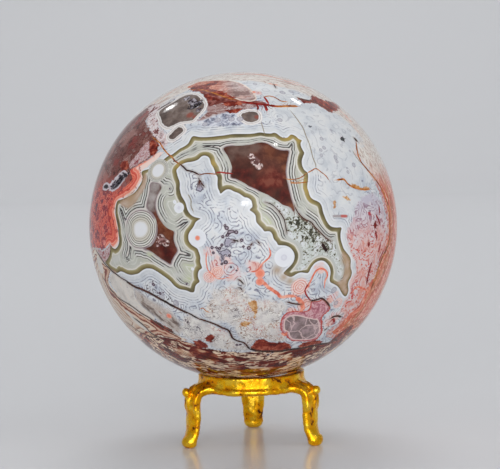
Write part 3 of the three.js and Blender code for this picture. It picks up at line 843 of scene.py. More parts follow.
BLOOD_VEINS = [
    ([(378.5, 206), (379.3, 209), (379.6, 213.5)], 0.6),
    ([(375.8, 215), (378, 218.5), (380.3, 225)], 0.6),
    ([(374, 225), (376.5, 225.2)], 1.9),
    ([(375.3, 231), (376.4, 235), (377, 239.5)], 0.8),
    ([(380.6, 243.5), (379.6, 248), (378.3, 252.5)], 0.75),
    ([(368.6, 242), (369, 246.5)], 0.95),
    ([(372, 262), (370.5, 266), (369.5, 270), (368.3, 275), (367.3, 280), (366.8, 284)], 0.85),
    ([(383.5, 251), (381, 256), (379, 262)], 0.6),
    ([(216, 172.7), (221, 172.3), (226, 173), (233, 173.6)], 0.42),
    ([(331, 321), (333, 319.5), (334.5, 322)], 0.8),
    ([(240, 101), (250, 103), (262, 104.3), (270, 105), (277, 106.5)], 0.75),
    ([(264, 104.5), (266, 107.5), (266.8, 111)], 0.75),
    ([(264, 96.8), (266, 99.5), (268.5, 103.5)], 0.6),
    ([(256.5, 104.5), (258, 107), (257.5, 110)], 0.6),
    ([(309, 283), (305, 290), (307, 296), (311, 301)], 0.4),
]
DARK_CRACKS = [
    ([(96, 250), (100, 256.5), (103.5, 262), (108, 267), (112, 271), (116, 274), (120, 277), (126, 281)],
      0.4),
    ([(120, 277), (126, 281), (131, 284.5), (136, 287.3), (141, 289), (146, 291.3), (151, 293.7),
      (156, 296.5), (161, 299.5), (166, 302), (170, 304.5), (176, 307.5), (182, 310.5), (188, 313.3),
      (194, 316.3), (200, 319)], 0.66),
    ([(188, 313.3), (194, 316.3), (200, 319), (206, 321), (212, 323), (218, 325.5), (222, 327.7),
      (227, 329.5), (229.5, 331.5), (231, 335), (233, 338.5), (238, 341), (243, 342.4), (246, 344.5),
      (250, 348)], 0.5),
    ([(246, 346), (250, 348.5), (256, 350.5), (264, 351.3), (274, 351.3), (284, 350.8), (290, 349.6),
      (302, 348), (316, 345), (330, 342.5), (337, 338)], 0.75),
    ([(114, 294), (120, 299), (128, 303.7), (134, 307.7), (141, 313), (148, 317), (155, 321.7),
      (162, 326.5), (170, 331), (177, 335)], 0.4),
    ([(103, 277), (106, 283), (110, 289), (115, 294)], 0.4),
    ([(134, 318), (140, 322.5), (146, 327.5), (151, 333), (158, 337)], 0.55),
    ([(126, 322), (133, 327), (140, 332), (150, 336.5), (158, 337.5)], 0.35),
    ([(180, 164), (184, 167.5), (187, 170.3), (193, 171.7), (199.5, 175)], 0.4),
    ([(158, 110), (164, 106), (171, 102.3)], 0.5),
    ([(297.5, 97.5), (303, 99.5), (309, 100.5), (316, 103), (324, 106.5), (331, 112)], 0.5),
    ([(294.5, 205.5), (297, 211), (300, 215), (305, 219.5), (311, 222), (315, 227), (320, 232), (326, 238),
      (332, 241.5)], 0.28),
    ([(265.5, 202.3), (271, 204), (276, 208), (280, 212.7), (284, 219), (285.6, 226), (286.8, 233)], 0.25),
    ([(322, 243.5), (324, 247), (327, 251.5)], 0.8),
    ([(287, 302), (291, 303), (296, 304), (301, 304.5)], 0.4),
    ([(310.5, 301), (316, 300), (322, 298.5), (326.5, 302), (330, 306.8)], 0.45),
    ([(330.5, 318.5), (334, 316.5), (338, 316), (341, 317)], 0.55),
    ([(325, 330), (327.5, 328)], 0.5),
    ([(238, 279.5), (240.5, 280.8), (243.5, 284)], 0.35),
    ([(238, 288), (240.5, 288), (242, 290)], 0.3),
    ([(233, 240.6), (238.5, 240.9)], 0.35),
    ([(257, 241), (260, 244)], 0.3),
    ([(250, 246), (252.5, 243)], 0.35),
    ([(199, 177.5), (199.2, 182), (199, 186)], 0.28),
    ([(200, 179.5), (201.5, 183), (204, 186.5)], 0.35),
    ([(353.8, 138), (356, 139.5), (358, 142)], 0.45),
    ([(273.5, 84), (276, 88)], 0.35),
]
PALE_VEINS = [
    ([(290, 110), (297, 119), (303, 128), (306, 136), (309, 143), (311, 150), (313, 158), (315.5, 164),
      (316, 168.5)], 0.33),
    ([(261, 122), (263, 128), (265, 136)], 0.25),
    ([(188, 194), (191, 200), (191, 206), (193.5, 212)], 0.3),
    ([(352, 150), (357, 158), (361, 163)], 0.3),
    ([(384, 160), (389, 175), (392, 190)], 0.5),
    ([(360, 127), (372, 141), (380, 153)], 0.5),
]
# Far veins wander from one direction to another: azimuth and elevation of both ends, and width.
FAR_VEINS = {
    "rust": [(10, 14, 60, 36, 0.5), (60, 36, 120, 34, 0.6), (40, -22, 90, -26, 0.45),
             (150, 20, 120, 34, 0.4)],
    "blood": [(5, 2, 30, -18, 0.7), (150, -20, 120, -32, 0.7), (90, 6, 108, 18, 0.5)],
    "crack": [(176, -10, 120, -40, 0.6), (120, -40, 50, -38, 0.55), (50, -38, 350, -46, 0.6),
              (70, 40, 84, 62, 0.4)],
    "coral": [(355, 10, 20, 18, 0.8), (135, -26, 100, -12, 0.6), (40, 20, 52, 34, 0.5)],
}


def wandering(start_az, start_el, end_az, end_el, seed):
    """A line from one direction to another that strays a little on the way."""
    pick = np.random.default_rng(seed)
    ends = direction(start_az, start_el), direction(end_az, end_el)
    share = np.linspace(0, 1, 14)[:, None]
    line = ends[0] * (1 - share) + ends[1] * share
    line += pick.normal(0, 0.016, line.shape) * np.sin(math.pi * share) ** 0.5
    line = smooth(line, closed=False, cuts=3)
    return line / np.linalg.norm(line, axis=1, keepdims=True)


def all_veins(front, far, seed):
    lines = [(open_line(places), width) for places, width in front]
    return lines + [(wandering(*row[:4], seed + k), row[4]) for k, row in enumerate(far)]


for name, front in (("rust", RUST_VEINS), ("coral", CORAL_VEINS), ("blood", BLOOD_VEINS),
                    ("crack", DARK_CRACKS), ("pale", PALE_VEINS)):
    across, apart = veined(all_veins(front, FAR_VEINS.get(name, []), len(front)))
    keep(name + "_across", across.clip(-40, 40))
    keep(name + "_apart", apart)

# %% [markdown]
# Small seeds of manganese and iron made dark dots, many with a paler middle. They crowd in the
# lace of the front and are strewn thinly elsewhere.

# %% Dots
DOTS = [
    (225, 225.5, 1.6), (226.7, 228, 2.1), (229.5, 232, 2.1), (232.5, 231.3, 1.7), (236.3, 232.2, 2.0),
    (222.8, 236.8, 1.7), (227.3, 235.2, 1.7), (241.6, 240.2, 1.8), (243.5, 246.5, 1.4), (248.8, 248, 2.0),
    (222, 245, 1.6), (212, 247.5, 1.7), (213.3, 252.8, 1.6), (216.5, 247.6, 1.4), (219.5, 248.5, 1.6),
    (229.5, 255.5, 1.5), (221.8, 264, 1.4), (225.8, 262.2, 2.1), (230.8, 267.3, 1.3), (236.5, 270.5, 1.2),
    (229.3, 209, 1.0), (342.6, 138.8, 2.4), (169.7, 188.6, 1.1), (126, 219, 1.3), (153.5, 284.5, 1.9),
    (150, 283.5, 0.8), (155.5, 290.5, 1.0), (160, 293.3, 1.8), (163.5, 292.5, 1.1), (127.5, 287.5, 1.0),
    (186.5, 284, 1.2), (185.5, 319.8, 1.2), (237, 345, 1.6), (240.5, 344.5, 1.4), (268, 354.5, 1.6),
    (272.5, 352.5, 1.4),
]
SMUDGES = [
    (228, 243, 4.0), (232, 241.5, 3.0), (222.5, 252, 4.0), (227, 253, 3.6), (222, 258.5, 2.4),
    (199.8, 188.8, 2.8), (203, 186, 1.6), (321.5, 138.8, 2.0), (324, 147.7, 2.0), (320.8, 150, 1.8),
    (321.3, 155.3, 1.8), (331, 130, 1.6), (335.5, 157.5, 2.2), (337, 161.5, 1.8), (350, 151, 1.5),
    (353.8, 165, 2.4), (348, 172, 1.8), (347, 168, 1.2), (309.5, 126.5, 1.6), (217.5, 120, 3.0),
    (205, 124.3, 2.6), (227, 116.5, 1.8), (240, 119, 3.0), (231.5, 119, 3.0), (162, 297, 3.0),
    (176, 303, 3.0), (280, 120, 2.4), (336, 303, 2.6), (334, 290, 3.0), (313, 290, 2.0), (314, 284, 1.5),
    (319.5, 278, 1.2), (343, 314, 1.6), (282.5, 92.5, 3.0), (291, 91.5, 2.6), (255, 84, 2.2),
    (284, 137.5, 1.0),
]
RED_DOTS = [(197.5, 238, 2.4), (260, 273.5, 4.6), (260, 281.7, 4.0), (254, 92, 2.0), (169, 316, 3.0)]
FAR_DOT_CLUSTERS = [(75, -8, 26, 6), (140, 8, 18, 7), (30, 22, 16, 8), (110, -28, 22, 9)]


def dot_cluster(azimuth, elevation, count, seed):
    """Dots scattered round a direction of the far side."""
    pick = np.random.default_rng(seed)
    places = pick.normal(0, 3.4, (count, 2))
    return list(zip(laid_at(azimuth, elevation, places), pick.uniform(0.3, 0.6, count)))


far_dots = [dot for cluster in FAR_DOT_CLUSTERS for dot in dot_cluster(*cluster)]
keep("dots", seeded(ring_seeds(DOTS) + far_dots))
keep("smudges", seeded(ring_seeds(SMUDGES)))
keep("red_dots", seeded(ring_seeds(RED_DOTS)))

# %% [markdown]
# Soft patches steer the colours from place to place: how pink the lace is, where it is calm, where
# the nodule's skin turns golden or dark, and where a window is smoky, amber or full of crystals with painted glints.

# %% Soft patches
PATCHES = {
    "pink": [(222, 264, 17), (236, 274, 12), (215, 277, 10), (254, 267, 9), (211, 252, 9), (375, 222, 20),
             (370, 250, 22), (362, 275, 20), (353, 303, 20), (346, 322, 12), (384, 245, 14), (301, 289, 13),
             (304, 305, 10), (333, 297, 9), (362, 225, 14), (352, 285, 12), (292, 312, 8), (332, 318, 14),
             (165, 145, 6), (256, 93, 7), (320, 262, 12)],
    "calm": [(336, 150, 42), (330, 115, 30), (284, 258, 12), (243, 203, 10), (200, 165, 10), (225, 80, 16),
             (270, 84, 30), (300, 112, 36), (340, 190, 30), (355, 150, 36), (322, 150, 40)],
    "golden": [(214, 163, 6), (288, 138, 8), (305, 190, 8), (303, 181, 6), (178, 164, 7), (125, 262, 8),
               (298, 140, 5), (304, 200, 9), (313, 232, 6), (296, 232, 6), (320, 240, 5)],
    "umber": [(303, 160, 9), (297, 256, 9), (291, 269, 9), (285, 245, 7), (322, 259, 9), (334, 268, 6),
              (301, 272, 7), (118, 222, 10), (119, 240, 9), (118, 208, 6), (240, 134, 12), (262, 133, 12),
              (176, 190, 9), (178, 200, 8), (185, 212, 8), (323, 212, 8), (330, 228, 8), (340, 235, 8),
              (218, 185, 7), (190, 290, 8), (220, 177, 6)],
    "smoke": [(234, 149, 11), (244, 150, 11), (254, 147, 8), (231, 157, 7)],
    "mist": [(154, 187, 11), (151, 197, 11), (151, 206, 8)],
    "wine": [(262, 186, 15), (275, 180, 15), (245, 175, 11), (284, 195, 10), (238, 172, 8), (168, 254, 10),
             (163, 248, 6)],
    "amber": [(272, 152, 10), (282, 157, 8), (286, 168, 6), (292, 206, 6), (164, 225, 9), (169, 234, 7)],
    "druse": [(255, 161, 6), (259, 166, 5), (251, 156, 4), (161, 239, 6), (166, 243, 5), (158, 244, 4)],
    "geode": [(187, 98.5, 5), (192, 101, 6), (197, 105, 6), (198.5, 110, 4)],
    "specks": [(300, 222, 12), (312, 234, 13), (306, 214, 6), (325, 246, 8), (290, 222, 5), (155, 290, 13),
               (170, 301, 9), (188, 325, 8)],
    "folds": [(117, 262, 8), (127, 262, 7), (112, 256, 6)],
    "ember": [(190, 115, 6), (195, 117, 4), (257, 117, 4), (344, 216, 6)],
    "green": [(181, 191, 10), (179, 175, 8), (192, 264, 11), (190, 280, 8), (276, 228, 10), (262, 208, 8),
              (150, 258, 8), (271, 222, 11), (283, 236, 6), (300, 186, 7)],
    "smear": [(277, 270, 6), (284, 277, 5), (290, 281, 5), (345, 260, 6), (347, 272, 6), (343, 284, 5),
              (131, 199, 8)],
}
for name, rows in PATCHES.items():
    keep(name, patchy(ring_seeds(rows)))

# %% [markdown]
# A material can't call Python, so it is built as a tree of nodes. A few short helpers keep the trees
# readable: each one adds a node, joins its inputs and gives back its output.

# %% Node helpers
def linear(colour):
    """A colour as seen on a screen, 0 to 255 each, turned into the light values that Blender works in."""
    parts = [c / 255 for c in colour]
    return tuple(c / 12.92 if c <= 0.04045 else ((c + 0.055) / 1.055) ** 2.4 for c in parts) + (1.0,)


class Tree:
    """A node tree that is being built."""

    def __init__(self, tree):
        self.tree = tree

    def node(self, kind, **settings):
        made = self.tree.nodes.new(kind)
        for name, value in settings.items():
            setattr(made, name, value)
        return made

    def put(self, socket, value):
        """Joins a socket to an output, or sets it to a plain value."""
        if isinstance(value, bpy.types.NodeSocket):
            self.tree.links.new(value, socket)
        else:
            socket.default_value = value

    def math(self, operation, a, b=0.0, clamp=False):
        made = self.node("ShaderNodeMath", operation=operation, use_clamp=clamp)
        self.put(made.inputs[0], a)
        self.put(made.inputs[1], b)
        return made.outputs[0]

    def rise(self, x, low, high):
        """0 below low, 1 above high, and a smooth climb between; low may be the higher one."""
        made = self.node("ShaderNodeMapRange", interpolation_type="SMOOTHSTEP", clamp=False)
        for name, value in (("Value", x), ("From Min", low), ("From Max", high)):
            self.put(made.inputs[name], value)
        return made.outputs["Result"]

    def mix(self, share, a, b, blend="MIX"):
        made = self.node("ShaderNodeMix", data_type="RGBA", blend_type=blend)
        for name, value in (("Factor_Float", share), ("A_Color", a), ("B_Color", b)):
            if isinstance(value, tuple) and len(value) == 3:
                value = linear(value)
            socket = next(s for s in made.inputs if s.identifier == name)
            self.put(socket, value)
        return next(s for s in made.outputs if s.identifier == "Result_Color")

    def ramp(self, x, stops, mode="LINEAR"):
        """A colour for each value of x, from stops of position and colour."""
        made = self.node("ShaderNodeValToRGB")
        made.color_ramp.interpolation = mode
        points = made.color_ramp.elements
        while len(points) < len(stops):
            points.new(0.5)
        for point, (place, colour) in zip(points, stops):
            point.position = place
            point.color = linear(colour)
        self.put(made.inputs[0], x)
        return made.outputs[0]

    def banding(self, x, stops, span):
        """A ramp whose stops are given in millimetres up to a span."""
        share = self.math("DIVIDE", x, span)
        return self.ramp(share, [(place / span, colour) for place, colour in stops])

    def kept(self, name):
        made = self.node("ShaderNodeAttribute", attribute_name=name)
        return made.outputs["Fac"]

    def noise(self, where, scale, detail=3.0, rough=0.55, bend=0.0, output="Fac", w=None):
        made = self.node("ShaderNodeTexNoise", noise_dimensions="3D" if w is None else "4D")
        values = {"Vector": where, "Scale": scale, "Detail": detail, "Roughness": rough, "Distortion": bend}
        if w is not None:
            values["W"] = w
        for name, value in values.items():
            self.put(made.inputs[name], value)
        return made.outputs[output]

    def cells(self, where, scale, feature="F1", output="Distance"):
        made = self.node("ShaderNodeTexVoronoi", feature=feature)
        self.put(made.inputs["Vector"], where)
        self.put(made.inputs["Scale"], scale)
        return made.outputs[output]

    def vector(self, operation, a, b):
        made = self.node("ShaderNodeVectorMath", operation=operation)
        self.put(made.inputs[0], a)
        self.put(made.inputs["Scale" if operation == "SCALE" else 1], b)
        return made.outputs[0]

    def lines(self, x, spacing, width):
        """1 on thin lines at even steps of x, and 0 between them."""
        return self.rise(self.math("PINGPONG", x, spacing / 2), width * 0.75, width * 0.25)

    def stretched(self, where, along, degrees=0.0):
        """Places turned about Y and then scaled, so that noise is drawn out along a slant."""
        made = self.node("ShaderNodeMapping", vector_type="TEXTURE")
        self.put(made.inputs["Vector"], where)
        made.inputs["Rotation"].default_value = (0, math.radians(-degrees), 0)
        made.inputs["Scale"].default_value = [1 / a for a in along]
        return made.outputs[0]

    def drifted(self, where, scale, reach):
        """Places moved about by smooth noise, which bends whatever is drawn with them."""
        made = self.node("ShaderNodeCombineXYZ")
        for k in range(3):
            self.put(made.inputs[k], self.noise(self.vector("ADD", where, (17.0 * k, 5.0 * k, 0)), scale))
        return self.vector("ADD", where, self.vector("SCALE", made.outputs[0], reach))

    def parts(self, where):
        """The x, y and z of a place."""
        made = self.node("ShaderNodeSeparateXYZ")
        self.put(made.inputs[0], where)
        return tuple(made.outputs)


def new_material(name):
    """An empty material with a Principled shader, as a tree to build in."""
    material = bpy.data.materials.new(name)
    material.use_nodes = True
    tree = Tree(material.node_tree)
    shader = material.node_tree.nodes["Principled BSDF"]
    return material, tree, shader


# %% [markdown]
# The agate's colour is built up in layers, from the pale lace that fills most of the stone to the
# cracks that cut it last. Each layer is a colour and a mask, and both come from distances.

# %% The agate's colour
STRIPES_SPAN = 3.25
STRIPES = [
    (0.00, (132, 114, 116)), (0.26, (166, 154, 156)), (0.38, (206, 200, 196)), (0.76, (212, 208, 203)),
    (0.84, (66, 60, 62)), (1.04, (72, 66, 66)), (1.14, (192, 194, 190)), (1.46, (198, 199, 194)),
    (1.54, (82, 78, 74)), (1.71, (88, 84, 78)), (1.81, (218, 217, 213)), (2.10, (220, 219, 215)),
    (2.18, (106, 102, 94)), (2.33, (112, 108, 100)), (2.43, (192, 191, 184)), (2.85, (184, 184, 172)),
    (3.25, (174, 177, 158)),
]
OLIVE_SPAN = 1.9
OLIVE = [
    (0.00, (78, 68, 48)), (0.16, (104, 92, 62)), (0.50, (130, 118, 80)), (0.92, (150, 140, 100)),
    (1.20, (178, 171, 142)), (1.30, (222, 219, 212)), (1.56, (206, 203, 196)), (1.90, (178, 177, 162)),
]
SQUEEZED_BELOW = 3.9
ORB_RINGS = [
    (0.00, (214, 212, 206)), (0.22, (218, 216, 211)), (0.30, (112, 109, 101)), (0.44, (112, 109, 101)),
    (0.52, (220, 219, 214)), (0.80, (216, 214, 208)), (0.88, (110, 107, 100)), (1.02, (116, 113, 106)),
    (1.10, (214, 212, 204)), (1.32, (208, 206, 198)), (1.40, (128, 124, 116)), (1.54, (140, 136, 128)),
    (1.62, (200, 196, 186)), (1.95, (204, 200, 190)), (2.05, (164, 155, 140)), (2.15, (176, 168, 154)),
    (2.25, (212, 209, 203)), (2.45, (198, 193, 184)), (2.60, (218, 217, 216)), (3.10, (224, 225, 229)),
]


def lace_colour(t, place, wobble):
    """Pale lace: fine lines parallel to the nodule's wall, which close into rings round scattered seeds."""
    seed = t.math("ADD", t.math("MULTIPLY", t.cells(place, 0.27), 3.7), 1.75)
    outside = t.math("MULTIPLY", t.kept("wall"), -1.0)
    grown = t.math("ADD", t.math("MINIMUM", seed, outside), wobble)
    blush = t.noise(place, 0.33, 4.0, 0.6)
    stray = t.math("MULTIPLY", t.math("SUBTRACT", blush, 0.5), 1.7)
    pink = t.rise(t.math("ADD", t.kept("pink"), stray), 0.30, 0.75)
    busy = t.math("MULTIPLY", t.rise(t.math("SUBTRACT", t.kept("calm"), stray), 0.40, 0.08), t.rise(outside, 1.0, 2.4))
    close = t.math("MULTIPLY", t.lines(grown, 0.70, 0.19), t.math("MULTIPLY", busy, 0.9))
    wide = t.math("MULTIPLY", t.lines(grown, 1.40, 0.20), 0.32)
    line = t.math("MULTIPLY", t.math("MAXIMUM", close, wide), t.rise(outside, 0.55, 1.0))
    line = t.math("MULTIPLY", line, t.rise(t.noise(place, 0.6, 2.0), 0.32, 0.55))
    hazy = t.noise(place, 0.24, 6.0, 0.66)
    ground = t.ramp(hazy, [(0.34, (180, 186, 199)), (0.45, (203, 208, 215)), (0.54, (215, 218, 222)), (0.64, (222, 222, 223))])
    white = t.ramp(hazy, [(0.36, (194, 198, 204)), (0.48, (208, 211, 215)), (0.62, (217, 218, 219))])
    ground = t.mix(busy, white, ground)
    ground = t.mix(pink, ground, t.ramp(blush, [(0.4, (216, 206, 210)), (0.55, (224, 196, 192)), (0.68, (220, 166, 152))]))
    ink = t.mix(pink, (118, 118, 138), (184, 88, 84))
    edge = t.rise(outside, 0.6, 0.2)
    colour = t.mix(line, ground, ink)
    return t.mix(t.math("MULTIPLY", edge, 0.9), colour, (226, 228, 233))


def grainy_colour(t, place):
    """Beige-white grains, each inside a fine dark squiggle."""
    net = t.lines(t.math("MULTIPLY", t.noise(place, 0.62, 3.0, 0.55, 0.8), 6.5), 1.0, 0.30)
    ground = t.ramp(t.noise(place, 0.5, 4.0, 0.7), [(0.36, (202, 198, 198)), (0.5, (220, 216, 213)), (0.64, (229, 226, 221))])
    tint = t.ramp(t.noise(place, 0.16, 3.0), [
        (0.38, (96, 88, 98)), (0.48, (122, 92, 76)), (0.55, (168, 110, 70)), (0.62, (174, 76, 62))])
    share = t.rise(t.noise(place, 0.35, 3.0), 0.36, 0.58)
    return t.mix(t.math("MULTIPLY", net, t.math("ADD", t.math("MULTIPLY", share, 0.75), 0.15)), ground, tint)


def net_colour(t, place, height):
    """The right side's net: lilac lines on white above, and coral ones on pink below."""
    swirl = t.noise(t.stretched(place, (1.0, 0.6, 0.7)), 0.28, 3.0, 0.55, 0.6)
    net = t.math("MULTIPLY", t.lines(t.math("MULTIPLY", swirl, 9.0), 1.0, 0.30), t.rise(t.noise(place, 0.3, 2.0), 0.3, 0.55))
    fine = t.noise(place, 0.3, 4.0, 0.65)
    low = t.rise(t.math("ADD", height, t.math("MULTIPLY", fine, 14.0)), 70.0, 58.0)
    above = t.mix(t.math("MULTIPLY", net, 0.75), t.ramp(fine, [(0.38, (192, 188, 202)), (0.6, (214, 207, 211))]), (128, 86, 112))
    below = t.mix(net, t.ramp(fine, [(0.36, (216, 140, 124)), (0.46, (218, 180, 174)), (0.60, (212, 200, 202))]), t.ramp(fine, [
        (0.40, (180, 58, 54)), (0.6, (212, 108, 88))]))
    blot = t.math("MULTIPLY", t.rise(fine, 0.62, 0.66), 0.8)
    return t.mix(blot, t.mix(low, above, below), (184, 50, 52))


def layered(t, place, along, degrees=0.0):
    """Noise drawn out into thin sheets: along gives its scale in x, y and z, after a turn about Y."""
    return t.noise(t.stretched(place, along, degrees), 1.0, 3.5, 0.6)


TAN_SPAN = 8.0
TAN = [
    (0.0, (176, 122, 98)), (0.3, (224, 210, 194)), (1.0, (226, 212, 196)), (1.15, (98, 38, 32)), (1.45, (156, 92, 72)),
    (1.7, (218, 194, 172)), (2.3, (190, 132, 108)), (2.5, (106, 42, 34)), (2.8, (132, 62, 50)), (3.0, (216, 188, 164)),
    (3.8, (224, 208, 190)), (4.0, (128, 66, 52)), (4.3, (206, 170, 144)), (5.4, (222, 208, 192)), (5.6, (150, 96, 76)),
    (5.9, (212, 190, 168)), (7.0, (220, 204, 188)), (7.2, (176, 130, 106)), (7.6, (214, 194, 174)), (8.0, (206, 184, 162)),
]
CREAMY = [
    (0.34, (188, 158, 148)), (0.41, (220, 213, 206)), (0.45, (230, 227, 222)), (0.465, (168, 140, 130)), (0.48, (226, 221, 215)),
    (0.52, (216, 207, 199)), (0.535, (160, 122, 110)), (0.55, (228, 224, 219)), (0.60, (212, 194, 184)),
    (0.625, (226, 150, 128)), (0.65, (226, 218, 210)), (0.70, (196, 178, 168)),
]
SIDE_SPAN = 14.0
SIDE_BANDS = [
    (0.0, (200, 88, 56)), (0.8, (220, 120, 82)), (1.1, (236, 188, 160)), (1.5, (188, 78, 54)), (2.4, (214, 112, 82)),
    (3.2, (178, 116, 76)), (4.0, (222, 138, 106)), (4.8, (168, 108, 74)), (6.0, (206, 96, 78)), (7.0, (234, 174, 152)),
    (8.0, (212, 106, 84)), (9.5, (226, 142, 116)), (10.5, (200, 104, 80)), (12.0, (236, 186, 162)), (14.0, (210, 140, 116)),
]


def strata_colour(t, place):
    """Masses of maroon and tan, cut by thin cream streaks that run along them."""
    masses = layered(t, place, (0.09, 0.26, 0.26))
    colour = t.ramp(masses, [
        (0.34, (206, 166, 136)), (0.39, (160, 84, 58)), (0.44, (116, 34, 28)), (0.52, (74, 14, 16)), (0.58, (122, 38, 30)),
        (0.64, (172, 88, 62)), (0.69, (214, 170, 140))])
    grown = t.math("MULTIPLY", layered(t, place, (0.05, 0.32, 0.28)), 7.0)
    streaks = t.math("MULTIPLY", t.lines(grown, 1.0, 0.48), t.rise(t.noise(place, 0.2, 3.0), 0.45, 0.53))
    colour = t.mix(streaks, colour, (236, 212, 186))
    dark = t.math("MULTIPLY", t.lines(t.math("ADD", grown, 0.5), 1.0, 0.2), 0.5)
    return t.mix(dark, colour, (62, 22, 20))


def red_colour(t, place, height):
    """Maroon jasper, mottled with grey, and crimson lower down."""
    mottle = t.noise(place, 0.22, 7.0, 0.7)
    upper = t.ramp(mottle, [
        (0.34, (60, 34, 32)), (0.42, (92, 54, 50)), (0.47, (128, 84, 78)), (0.50, (112, 62, 58)), (0.54, (90, 48, 46)),
        (0.56, (172, 148, 142)), (0.58, (116, 72, 68)), (0.62, (150, 112, 106)), (0.67, (72, 40, 38))])
    lower = t.ramp(mottle, [
        (0.36, (92, 60, 72)), (0.41, (124, 70, 80)), (0.44, (168, 52, 58)), (0.46, (232, 140, 122)), (0.475, (190, 60, 62)),
        (0.50, (214, 98, 84)), (0.515, (236, 160, 140)), (0.53, (164, 46, 54)), (0.57, (112, 62, 74)), (0.61, (192, 84, 84)),
        (0.66, (228, 150, 140))])
    tone = t.noise(place, 0.16, 4.0)
    upper = t.mix(t.math("MULTIPLY", t.rise(tone, 0.52, 0.60), 0.5), upper, (152, 56, 52))
    upper = t.mix(t.math("MULTIPLY", t.rise(tone, 0.46, 0.38), 0.5), upper, (176, 132, 124))
    return t.mix(t.rise(height, 73.0, 65.0), upper, lower)


def coral_colour(t, place, depth):
    """Salmon bands: a pale edge, then pinker and redder lines inwards."""
    bands = t.banding(t.math("ADD", depth, t.math("MULTIPLY", t.noise(place, 0.6, 3.0), 0.9)), [
        (0.0, (236, 212, 204)), (0.5, (238, 200, 188)), (0.7, (234, 150, 130)), (1.1, (230, 124, 104)),
        (1.3, (238, 176, 158)), (1.5, (222, 108, 90)), (2.0, (204, 78, 70)), (2.2, (234, 140, 116)),
        (2.5, (210, 84, 72)), (2.8, (228, 124, 98)), (3.2, (184, 60, 58))], 3.2)
    blot = t.rise(t.noise(place, 0.6, 5.0, 0.65), 0.55, 0.62)
    return t.mix(t.math("MULTIPLY", blot, 0.8), bands, t.ramp(t.noise(place, 1.3, 3.0), [
        (0.42, (128, 72, 78)), (0.56, (176, 58, 56))]))


def pocket_quartz(t, place):
    """Cloudy grey-brown quartz."""
    clouds = t.noise(place, 0.35, 4.0, 0.6)
    return t.ramp(clouds, [(0.32, (84, 72, 68)), (0.5, (112, 97, 91)), (0.68, (140, 126, 120))])


def crystals(t, place, dark, mid, light):
    """A patch of tiny crystals, each face painted lighter or darker: painted glints and painted shade."""
    shade = t.node("ShaderNodeSeparateColor")
    t.put(shade.inputs[0], t.cells(place, 1.7, output="Color"))
    return t.ramp(shade.outputs[0], [(0.25, dark), (0.5, mid), (0.8, light)])


